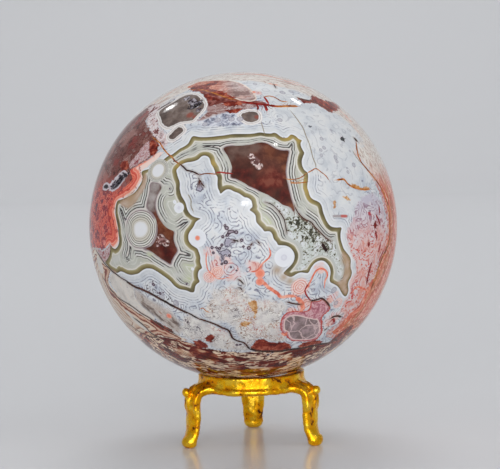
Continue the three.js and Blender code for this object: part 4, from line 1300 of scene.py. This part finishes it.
def regions(t, flat, place, colour, rough):
    """Lays the coloured regions over the lace."""
    side, depth, height = t.parts(flat)

    def inside(name, soft=0.1, stray=1.0):
        return t.rise(t.math("ADD", t.kept(name), t.math("MULTIPLY", rough, stray)), -soft, soft)

    def mottled(scale, stops, bend=0.0):
        return t.ramp(t.noise(place, scale, 6.0, 0.68, bend), stops)

    sheets = layered(t, place, (0.08, 0.34, 0.08))
    stray = t.math("MULTIPLY", t.math("SUBTRACT", sheets, 0.5), 10.0)
    behind = t.rise(t.math("ADD", depth, stray), -14.5, -12.0)
    creamy = t.ramp(sheets, CREAMY)
    colour = t.mix(behind, colour, creamy)
    right = t.banding(t.math("ADD", t.kept("right_sheets"), stray), SIDE_BANDS, SIDE_SPAN)
    right = t.mix(t.math("MULTIPLY", t.rise(rough, 0.06, 0.16), 0.7), right, (172, 58, 50))
    right = t.mix(t.math("MULTIPLY", t.rise(rough, -0.08, -0.18), 0.7), right, (236, 200, 182))
    right = t.mix(t.rise(height, 64.0, 74.0), right, creamy)
    colour = t.mix(inside("right_sheets", 0.3), colour, right)
    colour = t.mix(inside("net", 0.5, 2.0), colour, net_colour(t, place, height))
    colour = t.mix(inside("grainy", 0.6, 2.5), colour, grainy_colour(t, place))
    haze = layered(t, place, (0.12, 0.3, 0.5), -38.0)
    colour = t.mix(inside("haze", 1.0), colour, t.ramp(haze, [
        (0.38, (112, 96, 90)), (0.44, (160, 146, 138)), (0.49, (200, 192, 186)), (0.53, (172, 158, 150)),
        (0.57, (208, 200, 195)), (0.62, (176, 160, 150)), (0.68, (170, 122, 106))]))
    in_tan = t.math("ADD", t.kept("tan_limb"), t.math("MULTIPLY", t.math("SUBTRACT", t.noise(place, 0.09, 4.0, 0.6), 0.5), 6.0))
    colour = t.mix(inside("tan_limb"), colour, t.banding(in_tan, TAN, TAN_SPAN))
    colour = t.mix(inside("strata"), colour, strata_colour(t, place))
    colour = t.mix(inside("cream", 0.08, 0.4), colour, mottled(0.4, [
        (0.36, (196, 188, 182)), (0.48, (214, 209, 203)), (0.58, (222, 215, 208)), (0.68, (214, 196, 182))]))
    slant = layered(t, place, (0.22, 0.3, 0.9), 8.0)
    lens = t.mix(t.rise(side, -7.0, -1.0), t.ramp(slant, [
        (0.36, (160, 76, 52)), (0.45, (192, 108, 82)), (0.50, (214, 160, 138)), (0.55, (176, 92, 68)), (0.64, (206, 140, 116))]),
        t.ramp(slant, [
            (0.36, (134, 106, 102)), (0.46, (166, 142, 138)), (0.52, (196, 176, 172)), (0.58, (170, 130, 124)),
            (0.66, (206, 176, 168))]))
    colour = t.mix(inside("top_lilac", 0.4), colour, mottled(0.55, [
        (0.38, (104, 106, 124)), (0.45, (168, 172, 188)), (0.52, (208, 210, 219)), (0.62, (222, 222, 226))], 0.8))
    colour = t.mix(inside("top_veil", 0.4), colour, t.ramp(slant, [
        (0.38, (122, 82, 76)), (0.46, (148, 112, 108)), (0.51, (198, 184, 184)), (0.54, (142, 104, 98)), (0.64, (170, 142, 140))]))
    colour = t.mix(inside("top_wedge", 0.15), colour, mottled(0.5, [
        (0.36, (88, 40, 36)), (0.47, (120, 60, 54)), (0.56, (146, 88, 80)), (0.66, (168, 128, 122))]))
    colour = t.mix(t.rise(t.kept("top_lens"), -0.5, -0.3), colour, (222, 206, 196))
    colour = t.mix(inside("top_lens", 0.12), colour, lens)
    colour = t.mix(inside("flecked", 0.5, 2.0), colour, mottled(0.42, [
        (0.40, (96, 54, 54)), (0.44, (160, 104, 102)), (0.47, (216, 206, 208)), (0.53, (226, 222, 224)), (0.56, (186, 132, 128)),
        (0.58, (222, 212, 214)), (0.64, (120, 70, 68))]))
    colour = t.mix(inside("red_limb", 0.15, 1.6), colour, red_colour(t, place, height))
    in_coral = t.math("ADD", t.kept("red_limb"), 0.5)
    rim = t.math("MULTIPLY", inside("coral_band", 0.08, 0.9), t.rise(t.math("ADD", in_coral, rough), 3.3, 2.7))
    colour = t.mix(rim, colour, coral_colour(t, place, in_coral))
    colour = t.mix(inside("white_patch", 0.15, 1.6), colour, mottled(0.4, [
        (0.38, (140, 66, 70)), (0.45, (178, 136, 138)), (0.50, (210, 198, 200)), (0.54, (168, 104, 106)), (0.60, (202, 180, 182))]))
    colour = t.mix(inside("brick", 0.12, 1.8), colour, mottled(0.6, [
        (0.36, (78, 26, 22)), (0.46, (112, 38, 30)), (0.54, (142, 56, 42)), (0.62, (180, 100, 78))]))
    garnet = t.mix(t.rise(t.kept("garnet"), 0.3, 0.5), (186, 84, 78), mottled(0.9, [
        (0.38, (158, 92, 106)), (0.48, (194, 134, 144)), (0.56, (216, 180, 184)), (0.62, (174, 104, 114))]))
    colour = t.mix(inside("garnet", 0.06, 0.9), colour, garnet)
    facets = t.rise(t.cells(place, 0.27, feature="DISTANCE_TO_EDGE"), 0.05, 0.01)
    purple = t.mix(t.math("MULTIPLY", facets, 0.8), mottled(0.4, [
        (0.38, (124, 106, 106)), (0.48, (146, 128, 130)), (0.58, (170, 146, 150))]), (216, 190, 190))
    purple = t.mix(t.rise(t.kept("purple"), 0.42, 0.25), purple, (222, 196, 193))
    colour = t.mix(inside("purple", 0.06, 0.8), colour, purple)
    smoky_edge = t.math("ADD", t.kept("smoky"), t.math("MULTIPLY", rough, 0.5))
    colour = t.mix(t.rise(smoky_edge, -1.0, -0.92), colour, t.banding(t.math("ADD", smoky_edge, 1.0), [
        (0.0, (196, 168, 158)), (0.12, (226, 222, 220)), (0.42, (228, 226, 226)), (0.50, (176, 160, 156)),
        (0.62, (214, 208, 206)), (0.95, (226, 223, 222)), (1.0, (150, 140, 136))], 1.0))
    smoky = t.mix(t.rise(t.kept("ember"), 0.3, 0.8), pocket_quartz(t, place), (144, 84, 74))
    # In the geode the crystal faces are painted dark and light: painted shade and painted glints.
    geode = t.rise(t.math("ADD", t.kept("geode"), t.math("MULTIPLY", rough, 0.35)), 0.35, 0.5)
    smoky = t.mix(geode, smoky, crystals(t, place, (48, 38, 44), (92, 80, 88), (176, 170, 178)))
    colour = t.mix(inside("smoky", 0.08, 0.5), colour, smoky)
    return t.mix(inside("ochre", 0.15, 1.4), colour, mottled(0.9, [
        (0.38, (156, 98, 50)), (0.50, (194, 142, 88)), (0.62, (218, 186, 146))]))


def nodule_colour(t, place, wobble):
    """Bands between the wall and what they run round."""
    from_wall = t.kept("wall")
    from_core = t.math("MULTIPLY", t.kept("core"), -1.0)
    total = t.math("MAXIMUM", t.math("ADD", from_wall, from_core), 0.05)
    squeeze = t.math("DIVIDE", SQUEEZED_BELOW, t.math("MINIMUM", total, SQUEEZED_BELOW))
    stripe_at = t.math("ADD", t.math("MULTIPLY", from_core, squeeze), wobble)
    tighter = t.math("ADD", t.math("MULTIPLY", squeeze, 0.3), 0.7)
    olive_at = t.math("ADD", t.math("MULTIPLY", from_wall, tighter), wobble)
    fill = t.ramp(t.noise(place, 0.16, 2.0), [(0.35, (174, 175, 168)), (0.5, (188, 189, 180)), (0.65, (198, 198, 194))])
    fill = t.mix(t.math("MULTIPLY", t.kept("green"), 0.9), fill, (186, 192, 154))
    faint = t.noise(t.vector("MULTIPLY", place, (0.0, 0.0, 0.0)), 2.3, 2.0, w=from_core)
    fill = t.mix(t.rise(faint, 0.48, 0.62), fill, (210, 210, 203))
    fade = t.math("MULTIPLY", t.rise(t.noise(place, 0.22, 2.0), 0.68, 0.5), t.rise(stripe_at, 3.25, 2.9))
    colour = t.mix(fade, fill, t.banding(stripe_at, STRIPES, STRIPES_SPAN))
    colour = t.mix(t.rise(t.kept("pocket"), -0.75, -0.55), colour, (188, 190, 186))
    skin = t.banding(olive_at, OLIVE, OLIVE_SPAN)
    in_skin = t.rise(olive_at, 1.25, 0.95)
    skin = t.mix(t.math("MULTIPLY", in_skin, t.math("MULTIPLY", t.kept("golden"), 0.8)), skin, (178, 152, 84))
    skin = t.mix(t.math("MULTIPLY", in_skin, t.math("MULTIPLY", t.kept("umber"), 0.8)), skin, (90, 84, 64))
    return t.mix(t.rise(olive_at, 1.9, 1.65), colour, skin)


def window_colour(t, place):
    """Brown quartz: smoky or misty in places, amber in others, and wine red lower down."""
    clouds = t.noise(place, 0.3, 6.0, 0.6)
    stray = t.math("MULTIPLY", t.math("SUBTRACT", clouds, 0.5), 1.0)

    def patch(name):
        return t.rise(t.math("ADD", t.kept(name), stray), 0.02, 0.98)

    colour = t.ramp(clouds, [(0.36, (70, 36, 28)), (0.5, (88, 47, 37)), (0.64, (108, 62, 49))])
    colour = t.mix(patch("amber"), colour, t.ramp(clouds, [(0.38, (98, 50, 33)), (0.52, (118, 68, 46)), (0.66, (140, 92, 67))]))
    colour = t.mix(patch("wine"), colour, t.ramp(clouds, [
        (0.36, (50, 16, 15)), (0.48, (74, 23, 18)), (0.58, (98, 34, 26)), (0.66, (124, 62, 48))]))
    colour = t.mix(patch("smoke"), colour, t.ramp(clouds, [(0.38, (86, 62, 55)), (0.62, (110, 84, 75))]))
    mist = t.rise(t.math("ADD", t.kept("mist"), stray), 0.1, 1.0)
    mist = t.math("MULTIPLY", t.math("MULTIPLY", mist, t.rise(t.kept("mist"), 0.05, 0.4)), 0.9)
    return t.mix(mist, colour, t.ramp(clouds, [(0.38, (146, 136, 134)), (0.62, (176, 170, 168))]))


def speckled_colour(t, place):
    """Pale green-grey chalcedony full of dark moss-like specks."""
    fine = t.noise(place, 1.5, 4.0, 0.7)
    ground = t.ramp(t.noise(place, 0.6, 3.0), [(0.35, (190, 196, 192)), (0.5, (206, 210, 208)), (0.65, (214, 216, 220))])
    level = t.math("ADD", fine, t.math("MULTIPLY", t.kept("specks"), 0.14))
    ground = t.mix(t.rise(level, 0.555, 0.60), ground, (126, 122, 96))
    return t.mix(t.rise(level, 0.605, 0.64), ground, (62, 62, 54))


def fine_marks(t, place, colour):
    """Dots, then veins, then cracks."""
    specks = t.math("MULTIPLY", t.kept("specks"), t.rise(t.kept("wall"), 0.0, -0.5))
    moss = t.rise(t.math("ADD", t.noise(place, 1.6, 3.0, 0.7), t.math("MULTIPLY", specks, 0.12)), 0.64, 0.69)
    colour = t.mix(t.math("MULTIPLY", moss, t.rise(specks, 0.1, 0.4)), colour, (92, 84, 90))
    smudges = t.kept("smudges")
    colour = t.mix(t.math("MULTIPLY", t.rise(smudges, 1.5, 0.9), 0.7), colour, t.ramp(smudges, [
        (0.0, (134, 130, 142)), (0.2, (176, 174, 184)), (0.5, (182, 180, 190)), (0.8, (116, 112, 128)), (1.0, (136, 132, 148))]))
    clusters = t.math("ADD", t.kept("clusters"), t.math("MULTIPLY", t.math("SUBTRACT", t.noise(place, 1.2, 3.0), 0.5), 1.2))
    colour = t.mix(t.rise(clusters, -0.12, 0.0), colour, t.banding(clusters, [
        (0.0, (92, 86, 102)), (0.16, (104, 98, 114)), (0.28, (178, 176, 190)), (0.5, (160, 156, 172))], 0.5))
    red = t.kept("red_dots")
    colour = t.mix(t.rise(red, 1.15, 0.85), colour, t.ramp(red, [
        (0.0, (232, 132, 104)), (0.3, (228, 134, 110)), (0.6, (236, 160, 140)), (1.0, (230, 150, 132))]))
    dots = t.kept("dots")
    colour = t.mix(t.math("MULTIPLY", t.rise(dots, 2.6, 1.2), 0.5), colour, (206, 196, 204))
    colour = t.mix(t.rise(dots, 1.3, 0.85), colour, t.ramp(dots, [
        (0.0, (84, 66, 80)), (0.08, (150, 134, 148)), (0.24, (156, 142, 154)), (0.42, (66, 50, 62)), (1.0, (64, 48, 60))]))
    colour = t.mix(t.rise(t.kept("blots"), -0.06, 0.1), colour, (70, 72, 74))
    slot = t.mix(t.rise(t.kept("ember"), 0.3, 0.7), (166, 158, 160), (188, 104, 100))
    colour = t.mix(t.rise(t.kept("slot"), -0.06, 0.1), colour, slot)

    def vein(colour, name, tint, reach, share=1.0, stray=0.5):
        across = t.math("ABSOLUTE", t.kept(name + "_across"))
        rough = t.math("MULTIPLY", t.math("SUBTRACT", t.noise(place, 1.7, 3.0, 0.6), 0.5), stray * 2)
        mask = t.rise(t.math("ADD", across, rough), 1.25, 0.75)
        mask = t.math("MULTIPLY", mask, t.rise(t.kept(name + "_apart"), reach, reach * 0.8))
        return t.mix(t.math("MULTIPLY", mask, share), colour, tint)

    tone = t.noise(place, 0.6, 3.0)
    colour = vein(colour, "pale", (130, 115, 84), 0.6, 0.75)
    colour = vein(colour, "coral", t.ramp(tone, [(0.38, (208, 98, 78)), (0.52, (228, 134, 108)), (0.66, (236, 174, 154))]), 1.4)
    colour = vein(colour, "rust", t.ramp(tone, [(0.38, (112, 54, 22)), (0.5, (168, 94, 38)), (0.64, (200, 134, 72))]), 1.0)
    colour = vein(colour, "blood", t.ramp(tone, [(0.4, (112, 28, 26)), (0.6, (164, 50, 46))]), 1.6)
    stain = t.math("MULTIPLY", t.rise(t.kept("crack_apart"), 0.75, 0.2), 0.4)
    colour = t.mix(stain, colour, (136, 112, 100))
    return vein(colour, "crack", t.ramp(tone, [(0.4, (40, 28, 26)), (0.6, (84, 50, 42))]), 1.0)


def build_agate():
    """The whole stone, from its layers."""
    material, t, shader = new_material("lace_agate")
    coordinates = t.node("ShaderNodeTexCoord").outputs["Object"]
    flat = t.vector("SCALE", coordinates, 1 / MM)
    place = t.drifted(flat, 0.28, 2.6)
    ripple = t.math("SUBTRACT", t.noise(place, 0.9, 2.0), 0.5)
    folds = t.math("MULTIPLY", t.kept("folds"), 1.9)
    wobble = t.math("MULTIPLY", ripple, t.math("ADD", folds, 0.24))
    rough = t.math("MULTIPLY", t.math("SUBTRACT", t.noise(place, 1.1, 4.0, 0.6), 0.5), 1.2)
    colour = lace_colour(t, place, wobble)
    colour = regions(t, flat, place, colour, rough)
    in_wall = t.rise(t.kept("wall"), -0.02, 0.06)
    colour = t.mix(in_wall, colour, nodule_colour(t, place, wobble))
    colour = t.mix(t.rise(t.kept("orbs"), -0.02, 0.06), colour, t.banding(
        t.math("ADD", t.kept("orbs"), wobble), ORB_RINGS, 3.3))
    colour = t.mix(t.rise(t.kept("window"), -0.02, 0.05), colour, window_colour(t, place))
    colour = t.mix(t.rise(t.math("ADD", t.kept("pocket"), t.math("MULTIPLY", rough, 0.8)), -0.1, 0.1), colour,
                   speckled_colour(t, place))
    tawny = t.math("ADD", t.kept("tawny"), t.math("MULTIPLY", rough, 1.2))
    colour = t.mix(t.math("MULTIPLY", t.rise(tawny, -0.3, 0.7), 0.9), colour, t.ramp(tawny, [
        (0.0, (158, 128, 104)), (0.4, (176, 144, 122)), (0.9, (190, 168, 152))]))
    colour = t.mix(t.math("MULTIPLY", t.kept("smear"), 0.8), colour, (172, 144, 112))
    # Druse in the windows: crystal faces with painted glints.
    druse_glints = t.math("MULTIPLY", t.rise(t.kept("druse"), 0.3, 0.6), t.rise(t.noise(place, 0.9, 3.0), 0.40, 0.47))
    colour = t.mix(druse_glints, colour, crystals(t, place, (96, 62, 60), (158, 120, 116), (226, 208, 204)))
    pearl = t.kept("pearls")
    colour = t.mix(t.rise(pearl, 1.08, 0.94), colour, t.ramp(pearl, [
        (0.0, (216, 218, 226)), (0.08, (206, 206, 216)), (0.14, (222, 224, 230)), (1.0, (228, 230, 235))]))
    ring = t.kept("rosettes")
    rings = t.lines(t.math("ADD", ring, t.math("MULTIPLY", wobble, 0.6)), 0.25, 0.10)
    rosette = t.mix(rings, (238, 214, 206), (220, 128, 108))
    colour = t.mix(t.math("MULTIPLY", t.rise(ring, 1.1, 0.85), 0.7), colour, rosette)
    # Inside each vug: a pale rim in the stone's colours, then painted shade, nearly black, in the middle.
    vug = t.math("ADD", t.kept("vug"), t.math("MULTIPLY", rough, 0.9))
    colour = t.mix(t.rise(vug, -0.45, -0.3), colour, t.banding(t.math("ADD", vug, 0.4), [
        (0.0, (150, 116, 118)), (0.2, (206, 196, 204)), (0.42, (216, 208, 214)), (0.6, (136, 122, 132)),
        (0.75, (50, 44, 50)), (1.4, (38, 36, 40))], 1.4))
    colour = fine_marks(t, place, colour)
    t.put(shader.inputs["Base Color"], colour)
    shader.inputs["Roughness"].default_value = 0.07
    shader.inputs["IOR"].default_value = 1.3
    return material


AGATE = build_agate()
ball_mesh.materials.append(AGATE)
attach(ball, "root")
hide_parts("agate_ball")

# %% [markdown]
# Small quartz crystals grew into the two hollows. Geometry Nodes strew points over the floors of the
# hollows and stand a six-sided crystal with a pointed top on each. Their size and tilt are random.

# %% Crystals in the hollows
CRYSTALS = {"Density": 9e6, "Shortest": 0.28 * MM, "Longest": 0.58 * MM, "Seed": 4}
FLOOR_DEPTH = 0.42


def build_quartz():
    """Clear to milky quartz, a little different from crystal to crystal."""
    material, t, shader = new_material("quartz_points")
    place = t.vector("SCALE", t.node("ShaderNodeTexCoord").outputs["Object"], 1 / MM)
    t.put(shader.inputs["Base Color"], t.ramp(t.noise(place, 0.9, 3.0, 0.6), [
        (0.40, (34, 30, 36)), (0.52, (58, 52, 60)), (0.60, (140, 132, 144)), (0.68, (214, 208, 216))]))
    t.put(shader.inputs["Roughness"], t.math("ADD", t.math("MULTIPLY", t.noise(place, 4.0), 0.2), 0.02))
    shader.inputs["IOR"].default_value = 1.54
    return material


def crystal_tree():
    """A node tree that turns a surface into crystals standing on it."""
    tree = bpy.data.node_groups.new("crystals", "GeometryNodeTree")
    for name, kind in (("Geometry", "Geometry"), ("Density", "Float"), ("Shortest", "Float"), ("Longest", "Float"),
                       ("Seed", "Int"), ("Material", "Material")):
        tree.interface.new_socket(name, in_out="INPUT", socket_type="NodeSocket" + kind)
    tree.interface.new_socket("Geometry", in_out="OUTPUT", socket_type="NodeSocketGeometry")
    t = Tree(tree)
    given = t.node("NodeGroupInput").outputs
    scatter = t.node("GeometryNodeDistributePointsOnFaces")
    t.put(scatter.inputs["Mesh"], given["Geometry"])
    t.put(scatter.inputs["Density"], given["Density"])
    t.put(scatter.inputs["Seed"], given["Seed"])

    prism = t.node("GeometryNodeMeshCylinder")
    tip = t.node("GeometryNodeMeshCone")
    for made, values in ((prism, {"Vertices": 6, "Radius": 0.32, "Depth": 1.0}),
                         (tip, {"Vertices": 6, "Radius Top": 0.0, "Radius Bottom": 0.32, "Depth": 0.45})):
        for name, value in values.items():
            made.inputs[name].default_value = value
    lifted = t.node("GeometryNodeTransform")
    t.put(lifted.inputs["Geometry"], tip.outputs["Mesh"])
    lifted.inputs["Translation"].default_value = (0, 0, 0.5)
    crystal = t.node("GeometryNodeJoinGeometry")
    t.put(crystal.inputs[0], prism.outputs["Mesh"])
    t.put(crystal.inputs[0], lifted.outputs[0])

    tilt = t.node("FunctionNodeRandomValue", data_type="FLOAT_VECTOR")
    tilt.inputs[0].default_value = (-0.5, -0.5, 0)
    tilt.inputs[1].default_value = (0.5, 0.5, 6.28)
    size = t.node("FunctionNodeRandomValue", data_type="FLOAT")
    t.put(size.inputs[2], given["Shortest"])
    t.put(size.inputs[3], given["Longest"])
    for made in (tilt, size):
        t.put(next(s for s in made.inputs if s.identifier == "Seed"), given["Seed"])
    lean = t.node("FunctionNodeRotateRotation", rotation_space="LOCAL")
    t.put(lean.inputs[0], scatter.outputs["Rotation"])
    t.put(lean.inputs[1], tilt.outputs[0])
    stand_up = t.node("GeometryNodeInstanceOnPoints")
    for name, value in (("Points", scatter.outputs["Points"]), ("Instance", crystal.outputs[0]),
                        ("Rotation", lean.outputs[0]), ("Scale", size.outputs[1])):
        t.put(stand_up.inputs[name], value)
    real = t.node("GeometryNodeRealizeInstances")
    t.put(real.inputs[0], stand_up.outputs[0])
    dressed = t.node("GeometryNodeSetMaterial")
    t.put(dressed.inputs["Geometry"], real.outputs[0])
    t.put(dressed.inputs["Material"], given["Material"])
    t.put(t.node("NodeGroupOutput").inputs[0], dressed.outputs[0])
    return tree


def grow_crystals():
    """The crystals of both hollows, as one plain mesh."""
    corners = [list(face.vertices) for face in ball_mesh.polygons if min(depth_in[v] for v in face.vertices) > FLOOR_DEPTH]
    floors = bpy.data.meshes.new("hollow_crystals")
    floors.from_pydata(placed, [], corners)
    made = bpy.data.objects.new("hollow_crystals", floors)
    bpy.context.scene.collection.objects.link(made)
    modifier = made.modifiers.new("crystals", "NODES")
    modifier.node_group = crystal_tree()
    given = {**CRYSTALS, "Material": build_quartz()}
    for item in modifier.node_group.interface.items_tree:
        if item.in_out == "INPUT" and item.name in given:
            modifier[item.identifier] = given[item.name]
    mesh = bpy.data.meshes.new_from_object(made.evaluated_get(bpy.context.evaluated_depsgraph_get()))
    made.modifiers.clear()
    made.data = mesh
    return made


crystals_piece = grow_crystals()
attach(crystals_piece, "root")
heights = [BALL_RADIUS / MM - (Vector(v.co) - BALL_CENTRE).length / MM for v in crystals_piece.data.vertices]
print("crystals", len(crystals_piece.data.polygons), "faces, highest", round(min(heights), 2), "mm below the skin")

# %% [markdown]
# The stand is a cheap casting: its edges are soft, and its skin is lumpy all over, as if hammered. Its
# imported solid has the right shape with clean edges, so a copy of it is merged, turned into an even
# net of small faces and rounded a little. Then each point moves in or out by some noise, and stays
# inside the solid's box. The feet keep their flat undersides. How far a point lies in the low spots
# is kept, because the gilt material paints shade there, browner the lower a point lies.

# %% The stand's skin
CELL = 0.27 * MM
LUMPS = [(0.42, 0.2), (1.0, 0.1), (2.3, 0.035)]
SWOLLEN = 0.08
SEAT_REACH, SEAT_GAP = 0.6, 0.25


def copied_solid(node_name):
    """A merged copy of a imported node's mesh, at its place, as an object at the origin."""
    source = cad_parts[node_name]
    mesh = source.data.copy()
    mesh.transform(source.matrix_world)
    work = bmesh.new()
    work.from_mesh(mesh)
    bmesh.ops.remove_doubles(work, verts=work.verts, dist=1e-6)
    work.to_mesh(mesh)
    work.free()
    mesh.materials.clear()
    made = bpy.data.objects.new(node_name + "_skin", mesh)
    bpy.context.scene.collection.objects.link(made)
    return made


def even_net(made, cell, rounds):
    """Gives an object an even net of faces and rounds its edges."""
    remesh = made.modifiers.new("even", "REMESH")
    remesh.mode = "VOXEL"
    remesh.voxel_size = cell
    soften = made.modifiers.new("soften", "SMOOTH")
    soften.factor = 0.5
    soften.iterations = rounds
    net = bpy.data.meshes.new_from_object(made.evaluated_get(bpy.context.evaluated_depsgraph_get()))
    made.modifiers.clear()
    made.data = net
    return net


def hammer(mesh, low, high):
    """Moves each point along its normal by noise, and gives back how low it lies, 0 to 1."""
    count = len(mesh.vertices)
    points = np.empty(count * 3)
    mesh.vertices.foreach_get("co", points)
    points = points.reshape(-1, 3)
    normals = np.empty(count * 3)
    mesh.vertices.foreach_get("normal", normals)
    normals = normals.reshape(-1, 3)
    lumps = np.zeros(count)
    for scale, height in LUMPS:
        waves = [noise.noise(Vector(p * scale / MM)) for p in points]
        lumps += np.array(waves) * height
    shift = lumps + SWOLLEN
    shift *= (points[:, 2] / MM / 0.6).clip(0, 1)
    points += normals * (shift * MM)[:, None]
    outward = points - np.array(BALL_CENTRE)
    away = np.linalg.norm(outward, axis=1) / MM - RADIUS_MM
    seated = np.where(away < SEAT_REACH, np.maximum(away - SEAT_GAP * (1 - away / SEAT_REACH).clip(0, 1) * 2, 0.03), away)
    points = np.array(BALL_CENTRE) + outward * ((RADIUS_MM + seated) / (RADIUS_MM + away))[:, None]
    np.clip(points, np.array(low), np.array(high), out=points)
    mesh.vertices.foreach_set("co", points.ravel())
    mesh.polygons.foreach_set("use_smooth", [True] * len(mesh.polygons))
    mesh.update()
    spread = np.percentile(lumps, [4, 96])
    return ((spread[1] - lumps) / (spread[1] - spread[0])).clip(0, 1)


stand = copied_solid("tripod_stand")
stand_mesh = even_net(stand, CELL, 2)
lowness = hammer(stand_mesh, *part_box("tripod_stand"))
# How low each point lies, which the gilt material turns into painted shade.
stand_mesh.attributes.new("lowness", "FLOAT", "POINT").data.foreach_set("value", lowness.astype(np.float32))
print("stand", len(stand_mesh.vertices), "points,", len(stand_mesh.polygons), "faces")

# %% [markdown]
# Gilding is a thin bright yellow skin. In the low spots and pits the material paints shade: it goes
# from gold over bronze to dark brown as the points get lower, and gets rougher with it.

# %% The gilding
def build_gilt():
    """Bright gold, with painted shade in brown in its low spots and pits."""
    material, t, shader = new_material("gilt")
    place = t.vector("SCALE", t.node("ShaderNodeTexCoord").outputs["Object"], 1 / MM)
    grain = t.noise(place, 1.6, 4.0, 0.65)
    low = t.math("ADD", t.kept("lowness"), t.math("MULTIPLY", t.math("SUBTRACT", grain, 0.5), 0.8))
    # The brown end of this ramp is painted shade in the low spots and pits, darkest where a point lies lowest.
    t.put(shader.inputs["Base Color"], t.ramp(low, [
        (0.10, (255, 206, 50)), (0.45, (255, 190, 8)), (0.86, (246, 168, 2)), (1.02, (196, 116, 4)), (1.16, (100, 52, 8))]))
    t.put(shader.inputs["Roughness"], t.math("ADD", t.math("MULTIPLY", t.rise(low, 0.0, 1.2), 0.2), 0.2))
    shader.inputs["Metallic"].default_value = 0.8
    bump = t.node("ShaderNodeBump")
    bump.inputs["Strength"].default_value = 0.7
    bump.inputs["Distance"].default_value = 0.06 * MM
    t.put(bump.inputs["Height"], t.noise(place, 2.6, 3.0, 0.6))
    t.put(shader.inputs["Normal"], bump.outputs[0])
    return material


stand_mesh.materials.append(build_gilt())
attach(stand, "root")
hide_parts("tripod_stand")

# %% [markdown]
# The stage is one pale sheet that lies flat under the stand and curves up behind it, so no horizon
# shows. Seven large soft lights stand round it, and six small ones give the ball its bright spots.

# %% Floor, backdrop and lights
def sweep_sheet():
    """A wide sheet, flat in front and under the stand, and bent up behind."""
    floor_back, bend, height, half_width = 0.9, 0.5, 2.2, 2.5
    profile = [(-2.0, 0.0), (floor_back, 0.0)]
    profile += [(floor_back + bend * math.sin(a), bend * (1 - math.cos(a))) for a in np.linspace(0.1, math.pi / 2, 16)]
    profile.append((floor_back + bend, height))
    verts = [(x, y, z) for y, z in profile for x in (-half_width, half_width)]
    faces = [(2 * k, 2 * k + 1, 2 * k + 3, 2 * k + 2) for k in range(len(profile) - 1)]
    mesh = bpy.data.meshes.new("stage_sheet")
    mesh.from_pydata(verts, [], faces)
    mesh.polygons.foreach_set("use_smooth", [True] * len(mesh.polygons))
    sheet = bpy.data.objects.new("stage_sheet", mesh)
    bpy.context.scene.collection.objects.link(sheet)
    material, t, shader = new_material("stage_sheet")
    shader.inputs["Base Color"].default_value = linear((212, 213, 216))
    shader.inputs["Roughness"].default_value = 0.22
    mesh.materials.append(material)
    return sheet


sweep_sheet()

ROOM_GLOW = 0.26
# Each large light has a place, what it faces, its size in metres and the brightness it gives there.
# One that is hidden doesn't show as a reflection.
LARGE_LIGHTS = {
    "key": ((0.25, -1.2, 0.95), (0, 0, 0.06), (2.4, 1.7), 0.28, False),
    "front": ((0, -1.6, 0.55), (0, 0, 0.06), (1.6, 0.5), 0.14, False),
    "low": ((0, -1.2, 0.16), (0, 0, 0.06), (1.6, 0.22), 0.18, False),
    "left": ((-1.5, -0.5, 0.4), (0, 0, 0.06), (0.7, 0.7), 0.12, True),
    "right": ((1.5, -0.5, 0.4), (0, 0, 0.06), (0.7, 0.7), 0.16, True),
    "top": ((0.1, 0.1, 1.5), (0, 0, 0.06), (1.2, 1.2), 0.07, True),
    "backdrop": ((0, 1.0, 1.9), (0, 1.3, 0.2), (1.0, 1.0), 0.43, True),
}
# Each small lamp has the place of its bright spot in the picture, its width and height, and its glare.
SMALL_LAMPS = {
    "spot_middle": ((245.5, 203), (0.10, 0.05), 24),
    "spot_middle_rim": ((245.5, 203), (0.16, 0.10), 6),
    "spot_upper_left": ((170.5, 107.5), (0.045, 0.06), 22),
    "spot_upper_left_rim": ((170.5, 107.5), (0.10, 0.10), 4),
    "spot_upper_right": ((296.5, 101.5), (0.08, 0.04), 20),
    "spot_small": ((275.6, 144.4), (0.045, 0.045), 26),
}
LAMP_DISTANCE = 0.95


def lamp_at(name, place, target, width, height, watts, hidden):
    """An oval lamp at a place, turned to its target."""
    lamp = bpy.data.lights.new(name, "AREA")
    lamp.shape = "ELLIPSE"
    lamp.size = width
    lamp.size_y = height
    lamp.energy = watts
    made = bpy.data.objects.new(name, lamp)
    made.location = place
    made.rotation_euler = (Vector(target) - Vector(place)).to_track_quat("-Z", "Y").to_euler()
    made.visible_glossy = not hidden
    bpy.context.scene.collection.objects.link(made)


def mirrored_from(spot):
    """Where a lamp must stand for its reflection to show at this place of the picture."""
    normal = Vector(seen_at([spot])[0])
    point = BALL_CENTRE + normal * BALL_RADIUS
    view = (point - CAMERA_PLACE).normalized()
    return point + (view - 2 * view.dot(normal) * normal) * LAMP_DISTANCE, point


for name, (place, target, size, share, hidden) in LARGE_LIGHTS.items():
    away = (Vector(target) - Vector(place)).length
    lamp_at(name, place, target, *size, share * (math.pi * away) ** 2, hidden)
for name, (spot, (width, height), glare) in SMALL_LAMPS.items():
    place, point = mirrored_from(spot)
    lamp_at(name, place, point, width, height, glare * math.pi * width * height, False)
    print(name, "at", [round(c, 2) for c in place])

world = bpy.data.worlds.new("studio")
world.use_nodes = True
world.node_tree.nodes["Background"].inputs["Color"].default_value = linear((253, 254, 255))
world.node_tree.nodes["Background"].inputs["Strength"].default_value = ROOM_GLOW
bpy.context.scene.world = world
bpy.context.scene.view_settings.view_transform = "Standard"
